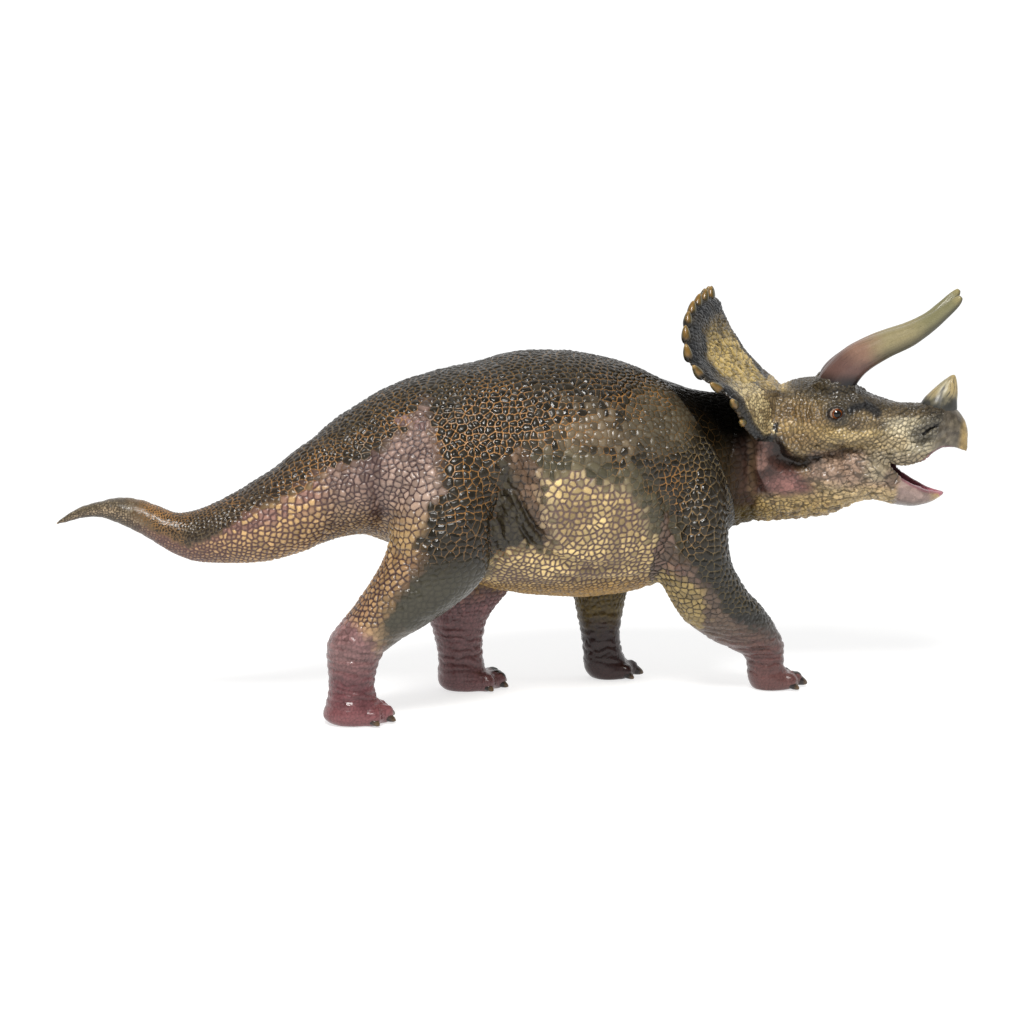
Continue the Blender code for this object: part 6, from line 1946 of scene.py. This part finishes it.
def claws():
    for leg, rows in LEGS.items():
        _, xr, xf, yc, ry = rows[1]
        cx, rx = (xr + xf) / 2, (xf - xr) / 2
        hind = leg.startswith("hind")
        solids, tones = [], []
        for k, a in enumerate((-72, -30, 14, 58) if hind else (-62, -14, 34)):
            big = 1.25 if (hind and k == 2) or (not hind and k == 1) else 1.0
            a = math.radians(a)
            reach = 1.0 if hind else 1.02
            c = np.array((cx + rx * reach * math.cos(a), yc + ry * reach * math.sin(a), 2.0 * big))
            v, f = ball((0, 0, 0), (1, 1, 1), None, 22, 14)
            xx = v[:, 0]
            taper = np.clip(1.0 - 0.42 * (xx + 1) * 0.5, 0.2, 1)
            v = np.stack([xx * 2.7 * big, v[:, 1] * 1.9 * big * taper, v[:, 2] * 1.75 * big * taper - 0.16 * (xx + 1) ** 2], 1)
            m = np.array(Matrix.Rotation(a * 0.75, 3, 'Z') @ Matrix.Rotation(math.radians(14), 3, 'Y'))
            v = v @ m.T + c
            v[:, 2] = np.maximum(v[:, 2], 0.12)
            solids.append((v, f))
            tones.append(xx)
        me = mesh_of(leg + "_claws", *solids)
        p, xx = points(me), np.concatenate(tones)
        n = len(p)
        n1 = noise(p, 1.5, 471, 2)
        cell = mix(np.tile(srgb("#231d1c"), (n, 1)), srgb("#3c302a"), ss(-0.2, 0.6, n1))
        cell = mix(cell, srgb("#5e4a34"), ss(0.35, 0.9, xx + 0.2 * n1))
        put_attrs(me, cell, cell * 0.6, np.clip(0.6 + 0.4 * n1, 0, 1), np.full(n, 0.24))
        to_object(leg + "_claws", me, "body", (), HORN_MAT)


claws()


# ------------------------------------------------------------------ plain moulded and metal parts that stay
def plain_material(name, colour, rough, metal=0.0, scale=900.0):
    m, nt, b = nodes_of(name)
    pos = add(nt, "ShaderNodeTexCoord").outputs["Object"]
    f = noise_tex(nt, pos, scale, 3.0)
    col = mix_rgb(nt, f, np.array(colour) * 0.86, np.clip(np.array(colour) * 1.1, 0, 1))
    nt.links.new(col, b.inputs["Base Color"])
    nt.links.new(map_range(nt, f, 0.0, 1.0, rough - 0.08, rough + 0.08), b.inputs["Roughness"])
    b.inputs["Metallic"].default_value = metal
    bump(nt, b, f, 0.00002, 0.5)
    return m


inner = plain_material("inner_plastic", (0.16, 0.13, 0.10), 0.5)
steel = plain_material("steel", (0.6, 0.6, 0.6), 0.3, 1.0, 2500.0)
v, f = bar(hp(JAW_X, -11.5, JAW_Z), hp(JAW_X, 11.5, JAW_Z), 1.25, n=32)
pin = mesh_of("jaw_pin_steel", (v, f))
to_object("jaw_pin_steel", pin, "head", ("jaw_pin",), steel, smooth=False)
for node, mat in (("collar_ring", inner), ("neck_retainer", inner), ("neck_screw", steel)):
    me = NODES[node].data
    me.materials.clear()
    me.materials.append(mat)

# ------------------------------------------------------------------ stage, light, camera
floor_me = bpy.data.meshes.new("floor")
floor_me.from_pydata([(-40, -40, 0), (40, -40, 0), (40, 40, 0), (-40, 40, 0)], [], [(0, 1, 2, 3)])
floor = bpy.data.objects.new("floor", floor_me)
floor.location = (0, 0, -0.0002)
SCENE.objects.link(floor)
fm, fnt, fb = nodes_of("floor_white")
fb.inputs["Base Color"].default_value = (0.42, 0.42, 0.42, 1.0)
fb.inputs["Roughness"].default_value = 0.9
fb.inputs["Specular IOR Level"].default_value = 0.0
fb.inputs["Emission Color"].default_value = (1.0, 1.0, 1.0, 1.0)
fb.inputs["Emission Strength"].default_value = 0.68
floor_me.materials.append(fm)
wall_me = bpy.data.meshes.new("backdrop")
wall_me.from_pydata([(-12, 0, -0.1), (12, 0, -0.1), (12, 0, 6), (-12, 0, 6)], [], [(0, 1, 2, 3)])
wall = bpy.data.objects.new("backdrop", wall_me)
wall.location = (0.34, 1.05, 0.0)
wall.rotation_euler = (0, 0, math.radians(-18))
SCENE.objects.link(wall)
wm, wnt, wb = nodes_of("backdrop_white")
wb.inputs["Base Color"].default_value = (0.1, 0.1, 0.1, 1.0)
wb.inputs["Roughness"].default_value = 1.0
wb.inputs["Specular IOR Level"].default_value = 0.0
wb.inputs["Emission Color"].default_value = (1.0, 1.0, 1.0, 1.0)
wb.inputs["Emission Strength"].default_value = 1.0
wall_me.materials.append(wm)

world = bpy.data.worlds.new("studio")
bpy.context.scene.world = world
world.use_nodes = True
world.node_tree.nodes["Background"].inputs["Color"].default_value = (1.0, 1.0, 1.0, 1.0)
world.node_tree.nodes["Background"].inputs["Strength"].default_value = 0.34


def area_light(name, place, aim, size, power, colour=(1, 1, 1)):
    li = bpy.data.lights.new(name, 'AREA')
    li.shape = 'RECTANGLE'
    li.size, li.size_y = size
    li.energy = power
    li.color = colour
    ob = bpy.data.objects.new(name, li)
    ob.location = place
    d = Vector(aim) - Vector(place)
    ob.rotation_euler = d.to_track_quat('-Z', 'Y').to_euler()
    SCENE.objects.link(ob)
    return ob


area_light("key", (-0.35, -0.75, 0.95), (0.0, 0.0, 0.06), (0.42, 0.32), 16.0, (1.0, 0.985, 0.96))

ang, pitch = math.radians(18), math.radians(8.65)
F = Vector((math.sin(ang), math.cos(ang), 0))
R = Vector((math.cos(ang), -math.sin(ang), 0))
C = Vector((0.0, 3.5, 0)) - 850.0 * F + Vector((0, 0, 187.0))
A = math.cos(pitch) * F - math.sin(pitch) * Vector((0, 0, 1))
cam_data = bpy.data.cameras.new("camera")
cam_data.sensor_width = 36.0
cam_data.lens = 2760 / 1024 * 36.0
cam_data.clip_start, cam_data.clip_end = 0.05, 20
cam = bpy.data.objects.new("camera", cam_data)
M = Matrix((R, R.cross(A), -A)).transposed().to_4x4()
M.translation = (C + Vector(SHIFT)) * 0.001
cam.matrix_world = M
SCENE.objects.link(cam)
bpy.context.scene.camera = cam
bpy.context.scene.view_settings.view_transform = 'Standard'
bpy.context.scene.view_settings.look = 'None'
